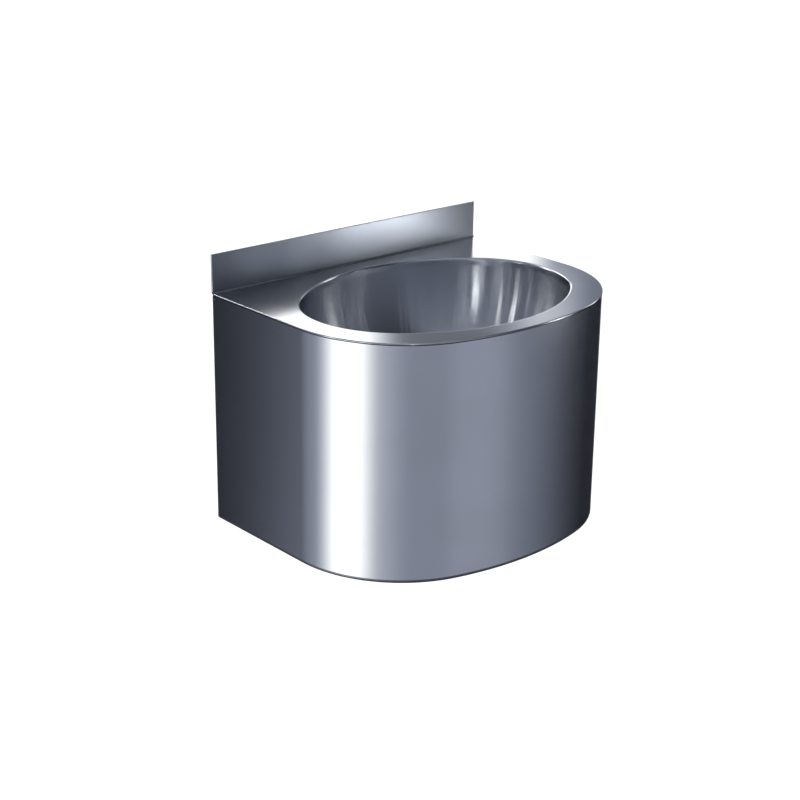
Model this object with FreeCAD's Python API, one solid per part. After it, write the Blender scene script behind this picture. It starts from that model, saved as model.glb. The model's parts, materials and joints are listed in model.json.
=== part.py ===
"""Wall-hung hand wash basin in folded and pressed stainless sheet, with its waste, trap and wall rail.

Units are millimetres. X runs along the wall, -Y points away from it and +Z is up. The origin lies on the
wall, midway between the two fixing holes of the rail.
"""

import FreeCAD
import Part
import math
import os

# ---------------------------------------------------------------- driving dimensions
# Sheet metal
SHEET = 1.2
SEAM_CLEARANCE = 0.3

# Deck and upstand
WIDTH = 450.0
DEPTH = 350.0
DECK_ABOVE_FIXING = 40.0
CORNER_RADIUS = 160.0
FRONT_RADIUS = 410.0
DECK_EDGE_RADIUS = 2.0
DECK_SKIRT = 3.0
UPSTAND_HEIGHT = 51.0
UPSTAND_BEND_RADIUS = 2.0
HEM_WIDTH = 12.0
HEM_EDGE_RADIUS = 1.1

# Apron
APRON_HEIGHT = 308.0
APRON_SETBACK = 0.5
APRON_BEND_RADIUS = 3.0
APRON_RETURN = 16.0
WALL_FLANGE = 25.0
LOWER_HOLE_RADIUS = 3.5
LOWER_HOLE_HEIGHT = 40.0
LOWER_HOLE_FROM_SIDE = 13.5

# Bowl
RIM_HALF_LENGTH = 193.0
RIM_HALF_WIDTH = 148.0
RIM_CENTRE_FROM_WALL = 176.0
RIM_BEND_RADIUS = 3.0
RIM_LIP = 6.5
OVAL_SPLIT = math.radians(47.0)
BOWL_DEPTH = 130.0
WALL_SWEEP = math.radians(25.0)
BOWL_CORNER_RADIUS = 75.0
FLOOR_SLOPE = math.radians(3.0)
FLAT_END_RADIUS = 7.0
OUTSIDE_FACET = math.radians(12.5)
SEAT_RECESS = 3.5
SEAT_CLEARANCE = 0.7
BOWL_HOLE_RADIUS = 22.0

# Hanger and rail
BRACKET_SHEET = 2.0
BRACKET_BEND = 2.0
BRACKET_END_GAP = 9.5
HANGER_REACH = 24.0
TONGUE_BOTTOM = 15.0
RAIL_BOTTOM = -15.0
RAIL_TOP = 30.0
JOGGLE_START = 9.0
JOGGLE_RISE = 5.0
RAIL_HOLE_SPACING = 280.0
RAIL_HOLE_RADIUS = 4.25
LOCK_FROM_END = 20.0
LOCK_HEIGHT = 23.0
LOCK_SHANK_RADIUS = 2.5
LOCK_HEAD_RADIUS = 4.75
LOCK_HEAD_HEIGHT = 3.0
LOCK_SOCKET_RADIUS = 1.7
LOCK_SOCKET_DEPTH = 1.8

# Earth tag
TAG_WIDTH = 12.0
TAG_LEG = 14.0
TAG_DROP = 18.0
TAG_HOLE_RADIUS = 2.25
TAG_FROM_SIDE = 60.0
TAG_FROM_WALL = 48.0

# Waste
STRAINER_RADIUS = 31.8
STRAINER_THICKNESS = 2.5
STRAINER_RECESS = 1.0
STRAINER_RECESS_RADIUS = 23.0
STRAINER_RINGS = (9.8, 17.2)
STRAINER_HOLE_PITCH = 14.0
STRAINER_HOLE_RADIUS = 3.0
SEAL_THICKNESS = 1.0
SEAL_INNER_RADIUS = 25.0
BOWL_SEAL_THICKNESS = 2.0
WASTE_SCREW_RADIUS = 3.0
WASTE_SCREW_HEAD_RADIUS = 5.5
WASTE_SCREW_HEAD = 1.8
SCREW_SLOT_WIDTH = 1.4
SCREW_SLOT_DEPTH = 1.0
WASTE_FLANGE_RADIUS = 32.0
WASTE_FLANGE = 3.0
WASTE_CUP_RADIUS = 25.0
WASTE_CUP_HEIGHT = 11.0
WASTE_WALL = 3.0
TAIL_RADIUS = 20.95
TAIL_BORE = 17.5
TAIL_LENGTH = 25.0
CROSSBAR_WIDTH = 5.0
CROSSBAR_BOSS_RADIUS = 5.5
CROSSBAR_HEIGHT = 9.0

# Trap
TUBE_RADIUS = 16.0
TUBE_WALL = 1.8
FIT_CLEARANCE = 0.3
UNION_SEAL = 2.0
UNION_FLANGE = 2.0
NUT_WALL = 3.0
NUT_LIP = 2.2
NUT_FLATS = 8
UNION_NUT_HEIGHT = 18.0
INLET_RADIUS = 17.0
DIP_RADIUS = 14.0
INLET_GAP = 4.0
HEAD_RADIUS = 30.0
HEAD_WALL = 2.5
HEAD_HEIGHT = 52.0
SOCKET_RADIUS = 20.95
OUTLET_BELOW_HEAD_TOP = 22.0
OUTLET_REACH = 52.0
OUTLET_SEAL = 3.0
CUP_SEAL_THICKNESS = 2.0
CUP_FLANGE = 2.5
CUP_RADIUS = 27.0
CUP_WALL = 2.0
CUP_HEIGHT = 52.0
CUP_FOOT_SLOPE = 3.0
CUP_NUT_HEIGHT = 16.0
DIP_ABOVE_CUP_FLOOR = 18.0
STOP_BEAD_FROM_WALL = 40.0
STOP_BEAD_WIDTH = 3.0
STOP_BEAD_HEIGHT = 1.5

# Drawing: how far a cut runs past a face, and when two measures count as the same
PAST = 1.0
SAME = 1e-4

# ---------------------------------------------------------------- derived places
DECK = DECK_ABOVE_FIXING
APRON_BOTTOM = DECK - APRON_HEIGHT
UPSTAND_TOP = DECK + UPSTAND_HEIGHT
HALF_WIDTH = WIDTH / 2
SIDE_LENGTH = (DEPTH + math.sqrt((FRONT_RADIUS - CORNER_RADIUS) ** 2 - (HALF_WIDTH - CORNER_RADIUS) ** 2)
               - FRONT_RADIUS)
UPSTAND_FACE = -2 * SHEET
LIP_HALF_LENGTH = RIM_HALF_LENGTH - RIM_BEND_RADIUS
LIP_HALF_WIDTH = RIM_HALF_WIDTH - RIM_BEND_RADIUS
LIP_BOTTOM = DECK - RIM_BEND_RADIUS - RIM_LIP
BOWL_Y = -RIM_CENTRE_FROM_WALL
SEAT_RADIUS = STRAINER_RADIUS + SEAT_CLEARANCE
BOWL_FLOOR = DECK - BOWL_DEPTH
SEAT = BOWL_FLOOR - SEAT_RECESS
OVAL_SHARE = math.cos(OVAL_SPLIT) / (math.cos(OVAL_SPLIT) + math.sin(OVAL_SPLIT) - 1)
FLAT_INSET = LIP_HALF_LENGTH - (LIP_HALF_LENGTH - LIP_HALF_WIDTH) * OVAL_SHARE - FLAT_END_RADIUS
CORNER_DROP = BOWL_CORNER_RADIUS * (math.cos(FLOOR_SLOPE) - math.sin(WALL_SWEEP))
CORNER_RUN = BOWL_CORNER_RADIUS * (math.cos(WALL_SWEEP) - math.sin(FLOOR_SLOPE))
WALL_RADIUS = ((LIP_BOTTOM - BOWL_FLOOR - CORNER_DROP - (FLAT_INSET - CORNER_RUN) * math.tan(FLOOR_SLOPE))
               / (math.sin(WALL_SWEEP) - (1 - math.cos(WALL_SWEEP)) * math.tan(FLOOR_SLOPE)))
UNDER_SEAT = SEAT - SHEET

APRON_WINDOW = HALF_WIDTH - APRON_SETBACK - WALL_FLANGE
BRACKET_HALF_LENGTH = APRON_WINDOW - BRACKET_END_GAP
LOCK_X = BRACKET_HALF_LENGTH - LOCK_FROM_END
RAIL_BACK = -BRACKET_SHEET / 2
RAIL_LIP = -(2 * BRACKET_SHEET + 2 * SEAM_CLEARANCE + BRACKET_SHEET / 2)
TONGUE = RAIL_LIP + BRACKET_SHEET + SEAM_CLEARANCE

WASTE_TOP = UNDER_SEAT - BOWL_SEAL_THICKNESS
CUP_SHOULDER = WASTE_TOP - WASTE_FLANGE - WASTE_CUP_HEIGHT
TAIL_END = CUP_SHOULDER - TAIL_LENGTH
UNION_FACE = TAIL_END - UNION_SEAL
INLET_NUT_BOTTOM = UNION_FACE - 2 * UNION_FLANGE - FIT_CLEARANCE - NUT_LIP
HEAD_TOP = INLET_NUT_BOTTOM - INLET_GAP
HEAD_BOTTOM = HEAD_TOP - HEAD_HEIGHT
OUTLET_Z = HEAD_TOP - OUTLET_BELOW_HEAD_TOP
CUP_TOP = HEAD_BOTTOM - CUP_SEAL_THICKNESS
CUP_BOTTOM = CUP_TOP - CUP_HEIGHT
DIP_BOTTOM = CUP_BOTTOM + CUP_FOOT_SLOPE + DIP_ABOVE_CUP_FLOOR
OUTLET_SOCKET_END = BOWL_Y + OUTLET_REACH
TUBE_START = BOWL_Y + HEAD_RADIUS + FIT_CLEARANCE

Z_AXIS = FreeCAD.Vector(0, 0, 1)
Y_AXIS = FreeCAD.Vector(0, 1, 0)
X_AXIS = FreeCAD.Vector(1, 0, 0)


# ---------------------------------------------------------------- drawing helpers
def vec(x, y, z=0.0):
    return FreeCAD.Vector(x, y, z)


def prism(wire, low, high):
    """Solid between two heights over a closed wire drawn at z = 0."""
    face = Part.Face(wire)
    face.translate(vec(0, 0, low))
    return face.extrude(vec(0, 0, high - low))


def block(x_span, y_span, z_span):
    """Box between three pairs of limits."""
    size = [high - low for low, high in (x_span, y_span, z_span)]
    return Part.makeBox(*size, vec(x_span[0], y_span[0], z_span[0]))


def on_arc(centre, radius, angle):
    return centre + vec(radius * math.cos(angle), radius * math.sin(angle))


def arc(centre, radius, start, end):
    middle = (start + end) / 2
    return Part.Arc(on_arc(centre, radius, start), on_arc(centre, radius, middle),
                    on_arc(centre, radius, end)).toShape()


def line(start, end):
    return Part.LineSegment(start, end).toShape()


def basin_outline(inset, rear):
    """D-shaped plan, moved in by inset: straight sides, two corner arcs and one long front arc."""
    half = HALF_WIDTH - inset
    corner_x = HALF_WIDTH - CORNER_RADIUS
    front_centre = vec(0, FRONT_RADIUS - DEPTH)
    right_centre = vec(corner_x, -SIDE_LENGTH)
    left_centre = vec(-corner_x, -SIDE_LENGTH)
    reach = right_centre - front_centre
    lean = math.atan2(reach.y, reach.x)
    corner = CORNER_RADIUS - inset
    edges = [
        line(vec(half, rear), vec(half, -SIDE_LENGTH)),
        arc(right_centre, corner, 0.0, lean),
        arc(front_centre, FRONT_RADIUS - inset, lean, -math.pi - lean),
        arc(left_centre, corner, -math.pi - lean, -math.pi),
        line(vec(-half, -SIDE_LENGTH), vec(-half, rear)),
        line(vec(-half, rear), vec(half, rear)),
    ]
    return Part.Wire(edges)


def oval_arcs(half_length, half_width):
    """The four arcs of an oval about the bowl's axis, as (centre, radius, start angle, end angle)."""
    spread = (half_length - half_width) / (math.cos(OVAL_SPLIT) + math.sin(OVAL_SPLIT) - 1)
    end_radius = half_length - spread * math.cos(OVAL_SPLIT)
    side_radius = end_radius + spread
    end_x = half_length - end_radius
    side_y = side_radius - half_width
    rise = OVAL_SPLIT
    return [
        (vec(end_x, BOWL_Y), end_radius, -rise, rise),
        (vec(0, BOWL_Y - side_y), side_radius, rise, math.pi - rise),
        (vec(-end_x, BOWL_Y), end_radius, math.pi - rise, math.pi + rise),
        (vec(0, BOWL_Y + side_y), side_radius, math.pi + rise, 2 * math.pi - rise),
    ]


def oval(half_length, half_width):
    return Part.Wire([arc(*piece) for piece in oval_arcs(half_length, half_width)])


def carried_round(arcs, section):
    """Solid made by carrying a section round a closed run of arcs.

    The section is a face in the XZ plane whose origin runs along the arcs; -X points to their inside.
    """
    sectors = []
    for centre, radius, start, end in arcs:
        piece = section.copy()
        piece.translate(vec(radius, 0))
        piece.rotate(vec(0, 0), Z_AXIS, math.degrees(start))
        piece.translate(centre)
        sectors.append(piece.revolve(centre, Z_AXIS, math.degrees(end - start)))
    solid = sectors[0]
    for sector in sectors[1:]:
        solid = solid.fuse(sector)
    return solid.removeSplitter()


def on_upright_arc(centre, radius, angle):
    return centre + vec(radius * math.cos(angle), 0, radius * math.sin(angle))


def upright_arc(centre, radius, start, end):
    """Arc in the XZ plane; angles run from +X towards +Z."""
    points = [on_upright_arc(centre, radius, angle) for angle in (start, (start + end) / 2, end)]
    return Part.Arc(*points).toShape()


def turned(profile, centre=None):
    """Solid of revolution about a vertical axis, from (radius, z) points."""
    axis = centre or vec(0, BOWL_Y)
    points = [vec(axis.x + radius, axis.y, z) for radius, z in profile]
    face = Part.Face(Part.makePolygon(points + points[:1]))
    return face.revolve(axis, Z_AXIS, 360)


def ring(inner, outer, low, high, centre=None):
    return turned([(inner, low), (outer, low), (outer, high), (inner, high)], centre)


def bent_strip(points, thickness, bend, half_length):
    """Folded strip: a centre line of (y, z) points with rounded bends, thickened and drawn along X."""
    sides = []
    for side in (1, -1):
        sides.append(rounded_side(points, side * thickness / 2, bend + thickness / 2))
    left, right = sides
    ends = [line(left[-1].Vertexes[-1].Point, right[-1].Vertexes[-1].Point),
            line(right[0].Vertexes[0].Point, left[0].Vertexes[0].Point)]
    wire = Part.Wire(Part.__sortEdges__(left + right + ends))
    wire.translate(vec(-half_length, 0, 0))
    return Part.Face(wire).extrude(vec(2 * half_length, 0, 0))


def rounded_side(points, offset, bend):
    """Edges of one face of a folded strip. bend is the radius of the centre line."""
    path = [vec(0, y, z) for y, z in points]
    runs = [(end - start).normalize() for start, end in zip(path, path[1:])]
    left = [vec(0, -run.z, run.y) for run in runs]
    edges = []
    start = path[0] + left[0] * offset
    for index, corner in enumerate(path[1:-1]):
        run, following = runs[index], runs[index + 1]
        turn = run.getAngle(following)
        way = 1 if run.cross(following).x > 0 else -1
        centre = corner - run * (bend * math.tan(turn / 2)) + left[index] * (way * bend)
        radius = bend - way * offset
        first = centre - left[index] * (way * radius)
        last = centre - left[index + 1] * (way * radius)
        half_way = (left[index] + left[index + 1]).normalize()
        edges.extend(straight(start, first))
        edges.append(Part.Arc(first, centre - half_way * (way * radius), last).toShape())
        start = last
    edges.extend(straight(start, path[-1] + left[-1] * offset))
    return edges


def straight(start, end):
    """A line in a list, or an empty list where a bend takes up the whole run."""
    return [line(start, end)] if (end - start).Length > SAME else []


def edges_at_height(shape, z, keep=lambda edge: True):
    level = []
    for edge in shape.Edges:
        box = edge.BoundBox
        if abs(box.ZMin - z) < SAME and abs(box.ZMax - z) < SAME and keep(edge):
            level.append(edge)
    return level


def upright_edges(shape, keep):
    return [edge for edge in shape.Edges
            if edge.BoundBox.XLength < SAME and edge.BoundBox.YLength < SAME and keep(edge)]


def mirrored_pair(shape):
    return [shape, shape.mirror(vec(0, 0, 0), X_AXIS)]


def upright_hole(radius, x, z, y_span):
    """Cylinder along Y through the given span."""
    return Part.makeCylinder(radius, y_span[1] - y_span[0], vec(x, y_span[0], z), Y_AXIS)


# ---------------------------------------------------------------- folded and pressed steel
def deck_plate():
    """Flat deck with its turned-down edge and the rolled rim of the bowl opening."""
    rear = UPSTAND_FACE - UPSTAND_BEND_RADIUS
    plate = prism(basin_outline(0, rear), DECK - DECK_SKIRT, DECK)
    outer_edges = edges_at_height(plate, DECK, lambda edge: edge.BoundBox.YMin < rear - PAST)
    plate = plate.makeFillet(DECK_EDGE_RADIUS, outer_edges)
    plate = plate.cut(prism(basin_outline(SHEET, rear), DECK - DECK_SKIRT - PAST, DECK - SHEET))
    plate = plate.cut(prism(oval(RIM_HALF_LENGTH, RIM_HALF_WIDTH), DECK - DECK_SKIRT, DECK + PAST))
    return plate.fuse(carried_round(oval_arcs(RIM_HALF_LENGTH, RIM_HALF_WIDTH), rim_section()))


def rim_section():
    """Section of the rolled rim: a quarter bend down from the deck and a short upright lip.

    The bend's hidden underside is drawn as one straight slope.
    """
    bend_centre = vec(0, 0, DECK - RIM_BEND_RADIUS)
    inner_bend = RIM_BEND_RADIUS - SHEET
    quarter = math.pi / 2
    outline = [vec(-RIM_BEND_RADIUS, 0, DECK - RIM_BEND_RADIUS), vec(-RIM_BEND_RADIUS, 0, LIP_BOTTOM),
               vec(-inner_bend, 0, LIP_BOTTOM), vec(-inner_bend, 0, DECK - RIM_BEND_RADIUS),
               vec(-inner_bend / 2, 0, DECK - SHEET), vec(0, 0, DECK - SHEET), vec(0, 0, DECK)]
    edges = [line(start, end) for start, end in zip(outline, outline[1:])]
    return Part.Face(Part.Wire([upright_arc(bend_centre, RIM_BEND_RADIUS, quarter, 2 * quarter)] + edges))


def upstand():
    """Upstand along the wall, folded up out of the deck, with a hem along its top and both ends."""
    rear = UPSTAND_FACE - UPSTAND_BEND_RADIUS
    middle = UPSTAND_FACE + SHEET / 2
    foot = DECK + UPSTAND_BEND_RADIUS
    bend = bent_strip([(rear, DECK - SHEET / 2), (middle, DECK - SHEET / 2), (middle, foot)],
                      SHEET, UPSTAND_BEND_RADIUS, HALF_WIDTH)
    slab = block((-HALF_WIDTH, HALF_WIDTH), (UPSTAND_FACE, 0), (foot, UPSTAND_TOP))
    top = edges_at_height(slab, UPSTAND_TOP, lambda edge: edge.BoundBox.XLength > HALF_WIDTH)
    slab = slab.makeFillet(HEM_EDGE_RADIUS, top + upright_edges(slab, lambda edge: True))
    inner = HALF_WIDTH - HEM_WIDTH
    pocket = block((-inner, inner), (UPSTAND_FACE + SHEET, SHEET), (foot - PAST, UPSTAND_TOP - HEM_WIDTH))
    return bend.fuse(slab.cut(pocket)).removeSplitter()


def make_deck():
    return deck_plate().fuse(upstand()).removeSplitter()


def bowl_bends():
    """The bowl's wall arc and corner arc in section, as (centre, radius, start angle, end angle)."""
    wall_centre = vec(-WALL_RADIUS, 0, LIP_BOTTOM)
    corner_centre = on_upright_arc(wall_centre, WALL_RADIUS - BOWL_CORNER_RADIUS, -WALL_SWEEP)
    return [(wall_centre, WALL_RADIUS, 0.0, -WALL_SWEEP),
            (corner_centre, BOWL_CORNER_RADIUS, -WALL_SWEEP, FLOOR_SLOPE - math.pi / 2)]


def bowl_section():
    """Section of the pressed wall: arcs inside, and outside, behind the apron, a row of short straights."""
    wall, corner = bowl_bends()
    floor_end = vec(-FLAT_INSET, 0, BOWL_FLOOR)
    inside = [upright_arc(*wall), upright_arc(*corner),
              line(on_upright_arc(*corner[:2], corner[3]), floor_end)]
    outside = [vec(0, 0, LIP_BOTTOM), vec(SHEET, 0, LIP_BOTTOM)]
    for centre, radius, start, end in (wall, corner):
        count = math.ceil(abs(end - start) / OUTSIDE_FACET)
        step = (end - start) / count
        reach = (radius + SHEET) / math.cos(step / 2)
        for index in range(count):
            outside.append(on_upright_arc(centre, reach, start + step * (index + 0.5)))
    outside.append(on_upright_arc(corner[0], corner[1] + SHEET, corner[3]))
    outside += [floor_end - vec(0, 0, SHEET), floor_end]
    straights = [line(start, end) for start, end in zip(outside, outside[1:])]
    return Part.Face(Part.Wire(Part.__sortEdges__(inside + straights)))


def make_bowl():
    """Pressed bowl: one section carried round the oval, a flat floor and a recess for the waste."""
    bowl = carried_round(oval_arcs(LIP_HALF_LENGTH, LIP_HALF_WIDTH), bowl_section())
    flat = oval(LIP_HALF_LENGTH - FLAT_INSET, LIP_HALF_WIDTH - FLAT_INSET)
    bowl = bowl.fuse(prism(flat, BOWL_FLOOR - SHEET, BOWL_FLOOR)).removeSplitter()
    bowl = bowl.fuse(ring_solid(SEAT_RADIUS + SHEET, UNDER_SEAT, BOWL_FLOOR))
    bowl = bowl.cut(ring_solid(SEAT_RADIUS, SEAT, BOWL_FLOOR + PAST))
    return bowl.cut(ring_solid(BOWL_HOLE_RADIUS, UNDER_SEAT - PAST, BOWL_FLOOR)).removeSplitter()


def ring_solid(radius, low, high):
    """Upright cylinder on the bowl's axis."""
    return Part.makeCylinder(radius, high - low, vec(0, BOWL_Y, low))


def make_apron():
    """Deep skirt with a return flange round its bottom edge and a flange along the wall at each side."""
    apron = prism(basin_outline(APRON_SETBACK, 0), APRON_BOTTOM, DECK - DECK_SKIRT)
    wall_edges = upright_edges(apron, lambda edge: abs(edge.BoundBox.YMin) < SAME)
    apron = apron.makeFillet(APRON_BEND_RADIUS, wall_edges + edges_at_height(apron, APRON_BOTTOM))
    hollow = basin_outline(APRON_SETBACK + SHEET, -SHEET)
    floor_window = basin_outline(APRON_SETBACK + APRON_RETURN, -APRON_RETURN)
    rear_window = block((-APRON_WINDOW, APRON_WINDOW), (-APRON_RETURN - PAST, SHEET),
                        (APRON_BOTTOM - PAST, DECK))
    apron = apron.cut(prism(hollow, APRON_BOTTOM + SHEET, DECK))
    apron = apron.cut(prism(floor_window, APRON_BOTTOM - PAST, APRON_BOTTOM + 2 * SHEET))
    apron = apron.cut(rear_window)
    hole = upright_hole(LOWER_HOLE_RADIUS, HALF_WIDTH - LOWER_HOLE_FROM_SIDE,
                        APRON_BOTTOM + LOWER_HOLE_HEIGHT, (-2 * SHEET, SHEET))
    for drill in mirrored_pair(hole):
        apron = apron.cut(drill)
    return apron


# ---------------------------------------------------------------- brackets
def make_rear_hanger():
    """Angle welded under the rear of the deck; its tongue hooks over the rail."""
    top = DECK - SHEET - BRACKET_SHEET / 2
    hanger = bent_strip([(TONGUE - HANGER_REACH, top), (TONGUE, top), (TONGUE, TONGUE_BOTTOM)],
                        BRACKET_SHEET, BRACKET_BEND, BRACKET_HALF_LENGTH)
    return drill_locks(hanger)


def make_wall_rail():
    """Rail screwed to the wall; its upper half is set forward and holds the hanger's tongue behind it."""
    line_of_sheet = [(RAIL_BACK, RAIL_BOTTOM), (RAIL_BACK, JOGGLE_START),
                     (RAIL_LIP, JOGGLE_START + JOGGLE_RISE), (RAIL_LIP, RAIL_TOP)]
    rail = bent_strip(line_of_sheet, BRACKET_SHEET, BRACKET_BEND, BRACKET_HALF_LENGTH)
    hole = upright_hole(RAIL_HOLE_RADIUS, RAIL_HOLE_SPACING / 2, 0, (-2 * BRACKET_SHEET, BRACKET_SHEET))
    for drill in mirrored_pair(hole):
        rail = rail.cut(drill)
    return drill_locks(rail)


def drill_locks(bracket):
    hole = upright_hole(LOCK_SHANK_RADIUS, LOCK_X, LOCK_HEIGHT, (RAIL_LIP - BRACKET_SHEET, 0))
    for drill in mirrored_pair(hole):
        bracket = bracket.cut(drill)
    return bracket


def make_locking_screws():
    """Socket-head screws through the rail's lip and the tongue behind it."""
    face = RAIL_LIP - BRACKET_SHEET / 2
    head_top = face - LOCK_HEAD_HEIGHT
    head = upright_hole(LOCK_HEAD_RADIUS, LOCK_X, LOCK_HEIGHT, (head_top, face))
    shank = upright_hole(LOCK_SHANK_RADIUS, LOCK_X, LOCK_HEIGHT, (face, TONGUE + BRACKET_SHEET / 2))
    corners = []
    for step in range(7):
        turn = step * math.pi / 3
        corners.append(vec(LOCK_X + LOCK_SOCKET_RADIUS * math.cos(turn), head_top,
                           LOCK_HEIGHT + LOCK_SOCKET_RADIUS * math.sin(turn)))
    socket = Part.Face(Part.makePolygon(corners)).extrude(vec(0, LOCK_SOCKET_DEPTH, 0))
    screw = head.fuse(shank).removeSplitter().cut(socket)
    return Part.makeCompound(mirrored_pair(screw))


def make_earth_tag():
    """Bonding tag: a bent tab welded under the deck behind the bowl's right-hand end."""
    top = DECK - SHEET - SHEET / 2
    drop = -TAG_FROM_WALL
    foot = top - TAG_DROP
    tag = bent_strip([(drop + TAG_LEG, top), (drop, top), (drop, foot)], SHEET, SHEET, TAG_WIDTH / 2)
    tag = tag.cut(upright_hole(TAG_HOLE_RADIUS, 0, foot + TAG_WIDTH / 2, (drop - SHEET, drop + SHEET)))
    tag.translate(vec(HALF_WIDTH - TAG_FROM_SIDE, 0))
    return tag


# ---------------------------------------------------------------- waste
def strainer_top():
    return SEAT + SEAL_THICKNESS + STRAINER_THICKNESS


def make_strainer():
    """Round strainer with a recessed, perforated middle and a hole for its centre screw."""
    top = strainer_top()
    low = top - STRAINER_THICKNESS
    recess = top - STRAINER_RECESS
    centre_hole = WASTE_SCREW_RADIUS + FIT_CLEARANCE
    grid = turned([(centre_hole, recess), (STRAINER_RECESS_RADIUS, recess), (STRAINER_RECESS_RADIUS, top),
                   (STRAINER_RADIUS, top), (STRAINER_RADIUS, low), (centre_hole, low)])
    for radius in STRAINER_RINGS:
        count = round(2 * math.pi * radius / STRAINER_HOLE_PITCH)
        for index in range(count):
            angle = 2 * math.pi * (index + 0.5) / count
            place = vec(radius * math.cos(angle), BOWL_Y + radius * math.sin(angle), low)
            grid = grid.cut(Part.makeCylinder(STRAINER_HOLE_RADIUS, STRAINER_THICKNESS, place))
    return grid


def make_strainer_seal():
    return ring(SEAL_INNER_RADIUS, STRAINER_RADIUS - FIT_CLEARANCE, SEAT, SEAT + SEAL_THICKNESS)


def make_bowl_seal():
    return ring(SEAL_INNER_RADIUS, WASTE_FLANGE_RADIUS, WASTE_TOP, UNDER_SEAT)


def make_strainer_screw():
    """Slotted screw that draws the strainer and the waste body together."""
    seat = strainer_top() - STRAINER_RECESS
    end = CUP_SHOULDER - FIT_CLEARANCE
    screw = turned([(0, end), (WASTE_SCREW_RADIUS, end), (WASTE_SCREW_RADIUS, seat),
                    (WASTE_SCREW_HEAD_RADIUS, seat), (WASTE_SCREW_HEAD_RADIUS, seat + WASTE_SCREW_HEAD / 2),
                    (WASTE_SCREW_HEAD_RADIUS / 2, seat + WASTE_SCREW_HEAD), (0, seat + WASTE_SCREW_HEAD)])
    head_top = seat + WASTE_SCREW_HEAD
    slot = block((-WASTE_SCREW_HEAD_RADIUS, WASTE_SCREW_HEAD_RADIUS),
                 (BOWL_Y - SCREW_SLOT_WIDTH / 2, BOWL_Y + SCREW_SLOT_WIDTH / 2),
                 (head_top - SCREW_SLOT_DEPTH, head_top + PAST))
    return screw.cut(slot)


def make_waste_body():
    """Flanged cup with a threaded tail; a crossbar inside carries the boss for the centre screw."""
    shoulder = CUP_SHOULDER + WASTE_WALL
    body = turned([(TAIL_BORE, TAIL_END), (TAIL_RADIUS, TAIL_END), (TAIL_RADIUS, CUP_SHOULDER),
                   (WASTE_CUP_RADIUS, CUP_SHOULDER), (WASTE_CUP_RADIUS, WASTE_TOP - WASTE_FLANGE),
                   (WASTE_FLANGE_RADIUS, WASTE_TOP - WASTE_FLANGE), (WASTE_FLANGE_RADIUS, WASTE_TOP),
                   (BOWL_HOLE_RADIUS, WASTE_TOP), (BOWL_HOLE_RADIUS, shoulder), (TAIL_BORE, shoulder)])
    half_bar = CROSSBAR_WIDTH / 2
    bar = block((-BOWL_HOLE_RADIUS, BOWL_HOLE_RADIUS), (BOWL_Y - half_bar, BOWL_Y + half_bar),
                (CUP_SHOULDER, CUP_SHOULDER + CROSSBAR_HEIGHT))
    boss = ring_solid(CROSSBAR_BOSS_RADIUS, CUP_SHOULDER, CUP_SHOULDER + CROSSBAR_HEIGHT)
    body = body.fuse(bar).fuse(boss)
    return body.cut(ring_solid(WASTE_SCREW_RADIUS, CUP_SHOULDER - PAST, WASTE_TOP)).removeSplitter()


# ---------------------------------------------------------------- trap
def union_nut(inner, lip_inner, low, height):
    """Octagonal ring nut with a lip at its foot, on the bowl's axis."""
    across = (inner + NUT_WALL) / math.cos(math.pi / NUT_FLATS)
    corners = []
    for index in range(NUT_FLATS + 1):
        angle = math.pi * (2 * index + 1) / NUT_FLATS
        corners.append(vec(across * math.cos(angle), BOWL_Y + across * math.sin(angle)))
    nut = prism(Part.makePolygon(corners), low, low + height)
    nut = nut.cut(ring_solid(inner, low + NUT_LIP, low + height + PAST))
    return nut.cut(ring_solid(lip_inner, low - PAST, low + height))


def make_trap_inlet_nut():
    """Union nut that draws the trap's inlet flange up against the waste tail."""
    return union_nut(TAIL_RADIUS + FIT_CLEARANCE, INLET_RADIUS + FIT_CLEARANCE,
                     INLET_NUT_BOTTOM, UNION_NUT_HEIGHT)


def make_trap_inlet_seal():
    return ring(DIP_RADIUS, TAIL_RADIUS, UNION_FACE, TAIL_END)


def make_trap_dip_tube():
    """Tube that hangs by its flange in the head's inlet and dips into the cup."""
    bore = DIP_RADIUS - TUBE_WALL
    flange_low = UNION_FACE - UNION_FLANGE
    return turned([(bore, DIP_BOTTOM), (DIP_RADIUS, DIP_BOTTOM), (DIP_RADIUS, flange_low),
                   (TAIL_RADIUS, flange_low), (TAIL_RADIUS, UNION_FACE), (bore, UNION_FACE)])


def outlet_turned(profile):
    """Solid of revolution about the outlet's axis, from (radius, y) points."""
    points = [vec(radius, y, OUTLET_Z) for radius, y in profile]
    face = Part.Face(Part.makePolygon(points + points[:1]))
    return face.revolve(vec(0, 0, OUTLET_Z), Y_AXIS, 360)


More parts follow.
